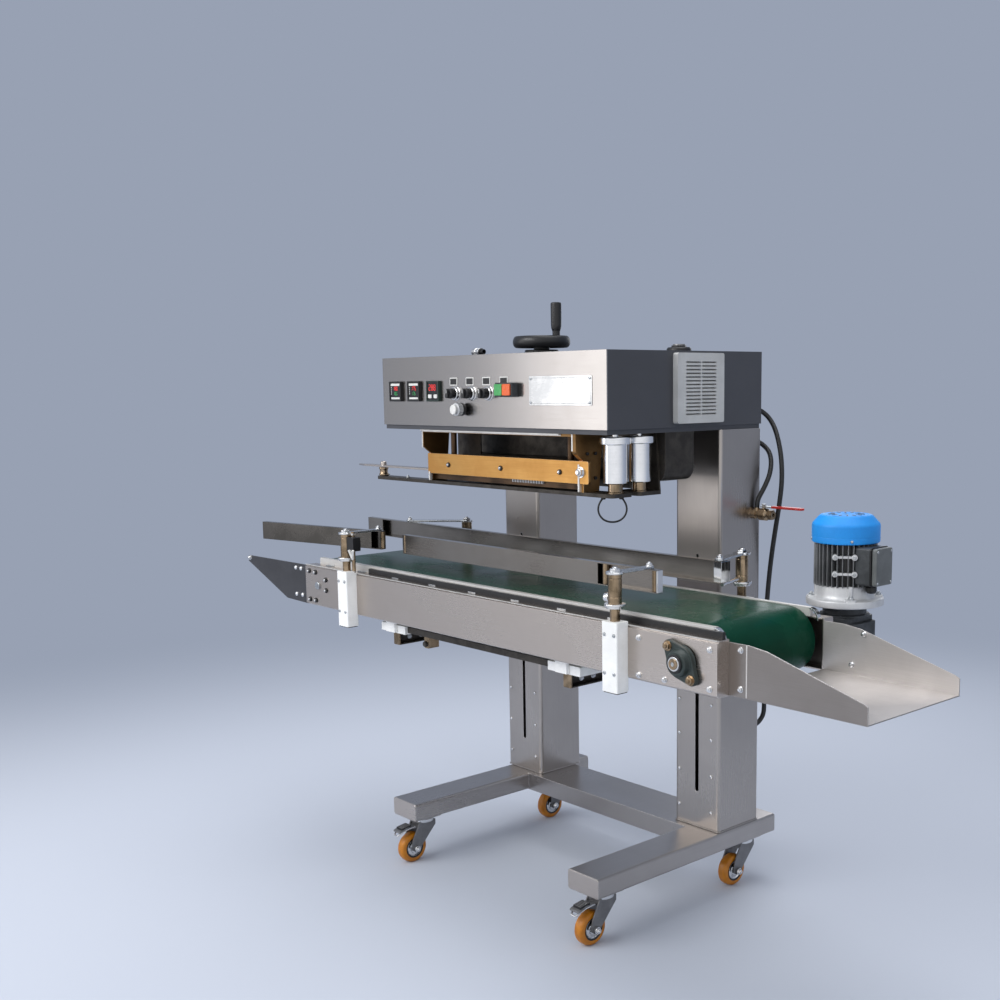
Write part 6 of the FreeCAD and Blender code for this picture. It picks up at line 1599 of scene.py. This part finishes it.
@dataclass
class Studio:
    """Floor, backdrop, soft lights and the camera at the photograph's angle."""

    eye: Point = (2.1224, -1.9455, 1.1858)
    yaw: float = 47.5
    pitch: float = 7.91
    roll: float = -0.62
    lens: float = 44.54
    shift: Flat = (-0.0727, 0.0576)
    floor_colour: str = "#c6ccd8"
    shade: str = "#98a1b3"
    pale: str = "#f4f6fa"

    def around(self, tree: bpy.types.NodeTree, way: bpy.types.NodeSocket) -> bpy.types.NodeSocket:
        """Finds the studio's tone in a direction: pale in front, blue grey behind.

        Args:
            tree: The material's or world's tree.
            way: The direction, of unit length.

        Returns:
            The colour's socket.
        """
        lean = put(tree, "ShaderNodeVectorMath", {0: way, 1: (0.45, -0.8, 0.4)}, operation="DOT_PRODUCT")
        share = put(tree, "ShaderNodeMapRange",
                    {"Value": lean.outputs["Value"], "From Min": -0.45, "From Max": 1.0},
                    interpolation_type="SMOOTHSTEP")
        return put(tree, "ShaderNodeMix", {0: share.outputs[0], 6: linear(self.shade), 7: linear(self.pale)},
                   data_type="RGBA").outputs[2]

    def camera(self) -> None:
        """Places the camera by its solved pose."""
        yaw, pitch, roll = (math.radians(v) for v in (self.yaw, self.pitch, self.roll))
        side = Vector((math.cos(yaw), math.sin(yaw), 0))
        back = Vector((math.sin(yaw) * math.cos(pitch), -math.cos(yaw) * math.cos(pitch), math.sin(pitch)))
        rise = back.cross(side)
        right = math.cos(roll) * side + math.sin(roll) * rise
        up = -math.sin(roll) * side + math.cos(roll) * rise
        data = bpy.data.cameras.new("camera")
        data.sensor_width = 36
        data.lens = self.lens
        data.shift_x, data.shift_y = self.shift
        data.clip_end = 60
        shot = bpy.data.objects.new("camera", data)
        shot.matrix_world = Matrix.Translation(self.eye) @ Matrix((right, up, back)).transposed().to_4x4()
        bpy.context.collection.objects.link(shot)
        bpy.context.scene.camera = shot

    def backdrop(self) -> None:
        """Makes the floor: matt and shadowed near the machine, and as pale as the background far off."""
        data = bpy.data.meshes.new("floor")
        reach = 30.0
        data.from_pydata([(-reach, -reach, 0), (reach, -reach, 0), (reach, reach, 0), (-reach, reach, 0)], [],
                         [(0, 1, 2, 3)])
        floor = bpy.data.objects.new("floor", data)
        bpy.context.collection.objects.link(floor)
        made = bpy.data.materials.new("studio_floor")
        made.use_nodes = True
        tree = made.node_tree
        tree.nodes.clear()
        place = put(tree, "ShaderNodeTexCoord").outputs["Object"]
        far = put(tree, "ShaderNodeVectorMath", {0: place}, operation="LENGTH")
        share = put(tree, "ShaderNodeMapRange",
                    {"Value": far.outputs["Value"], "From Min": 1.2, "From Max": 3.6},
                    interpolation_type="SMOOTHSTEP")
        paths = put(tree, "ShaderNodeLightPath")
        seen = put(tree, "ShaderNodeMath",
                   {0: paths.outputs["Is Camera Ray"], 1: paths.outputs["Is Glossy Ray"]},
                   operation="ADD", use_clamp=True)
        mixed = put(tree, "ShaderNodeMath", {0: share.outputs[0], 1: seen.outputs[0]}, operation="MULTIPLY")
        matt = put(tree, "ShaderNodeBsdfPrincipled",
                   {"Base Color": linear(self.floor_colour), "Roughness": 0.9})
        way = put(tree, "ShaderNodeVectorMath", {0: place}, operation="NORMALIZE")
        glow = put(tree, "ShaderNodeEmission", {"Color": self.around(tree, way.outputs[0]), "Strength": 1.0})
        both = put(tree, "ShaderNodeMixShader", {0: mixed.outputs[0], 1: matt.outputs[0], 2: glow.outputs[0]})
        put(tree, "ShaderNodeOutputMaterial", {"Surface": both.outputs[0]})
        floor.data.materials.append(made)

    def lamp(self, name: str, spot: Point, aim: Point, size: Flat, watts: float, tint: str) -> None:
        """Adds one soft box.

        Args:
            name: The lamp's name.
            spot: Its place.
            aim: The point it faces.
            size: Width and height.
            watts: Its power.
            tint: Its colour.
        """
        data = bpy.data.lights.new(name, "AREA")
        data.shape = "RECTANGLE"
        data.size, data.size_y = size
        data.energy = watts
        data.color = linear(tint)[:3]
        made = bpy.data.objects.new(name, data)
        made.visible_camera = False
        made.location = spot
        made.rotation_euler = (Vector(spot) - Vector(aim)).to_track_quat("Z", "Y").to_euler()
        bpy.context.collection.objects.link(made)

    def world(self) -> None:
        """Surrounds the machine with soft light that is a little dimmer where surfaces scatter it."""
        made = bpy.data.worlds.new("studio")
        bpy.context.scene.world = made
        made.use_nodes = True
        tree = made.node_tree
        tree.nodes.clear()
        place = put(tree, "ShaderNodeTexCoord").outputs["Generated"]
        tone = self.around(tree, place)
        paths = put(tree, "ShaderNodeLightPath")
        mirrored = put(tree, "ShaderNodeMath", {0: 1.0, 1: paths.outputs["Is Diffuse Ray"]},
                       operation="SUBTRACT")
        dim = put(tree, "ShaderNodeBackground", {"Color": tone, "Strength": 0.9})
        full = put(tree, "ShaderNodeBackground", {"Color": tone, "Strength": 1.0})
        both = put(tree, "ShaderNodeMixShader",
                   {0: mirrored.outputs[0], 1: dim.outputs[0], 2: full.outputs[0]})
        put(tree, "ShaderNodeOutputWorld", {"Surface": both.outputs[0]})

    def build(self) -> None:
        """Makes the whole studio."""
        self.camera()
        self.backdrop()
        self.lamp("key_box", (-0.6, -3.4, 2.9), (0, -0.1, 0.8), (2.6, 1.8), 74, "#ffffff")
        self.lamp("panel_box", (-1.9, -2.5, 1.35), (0.1, -0.2, 1.1), (0.9, 1.5), 8.5, "#fffaf6")
        self.lamp("back_box", (-1.0, 2.7, 1.5), (0.9, -0.1, 0.6), (1.2, 1.2), 6, "#ffffff")
        self.lamp("top_box", (0.2, 0.4, 3.6), (0, 0, 0.8), (3.0, 2.0), 45, "#ffffff")
        self.world()
        bpy.context.scene.view_settings.view_transform = "Standard"


PLAIN_NODES: dict[str, Look] = {
    "base_frame": Look.STEEL_Y, "column_left": Look.STEEL_Z, "column_right": Look.STEEL_Z,
    "head_housing": Look.ENAMEL, "head_front_panel": Look.PANEL, "filter_grille": Look.GREY,
    "seal_lower_plate": Look.DARK_STEEL, "seal_block": Look.BRONZE, "infeed_guide": Look.STEEL_X,
    "rear_drive_housing": Look.DARK_STEEL, "conveyor_side_front": Look.STEEL_X,
    "conveyor_side_rear": Look.STEEL_X, "slider_bed": Look.SATIN, "conveyor_belt": Look.BELT,
    "tail_roller": Look.ZINC, "drive_roller": Look.ZINC, "infeed_wing": Look.WING,
    "guide_rail_infeed": Look.SHADED, "guide_rail_front": Look.RAIL, "guide_rail_rear": Look.RAIL}


def dress_plain_nodes() -> None:
    """Gives every node that stays in view its finish."""
    for name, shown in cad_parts.items():
        look = Look.FORK if name.startswith("caster_fork") else PLAIN_NODES.get(name)
        if look:
            dress(shown, look)


def main() -> None:
    """Builds the studio and the machine."""
    logging.basicConfig(level=logging.INFO, format="%(name)s %(message)s")
    Studio().build()
    Cords().build()
    screws = Fasteners()
    for unit in (Chassis, ControlHead, SealingUnit, Conveyor, Drive, Valve):
        unit(screws).build()
    screws.build()
    dress_plain_nodes()


if __name__ == "__main__":
    main()
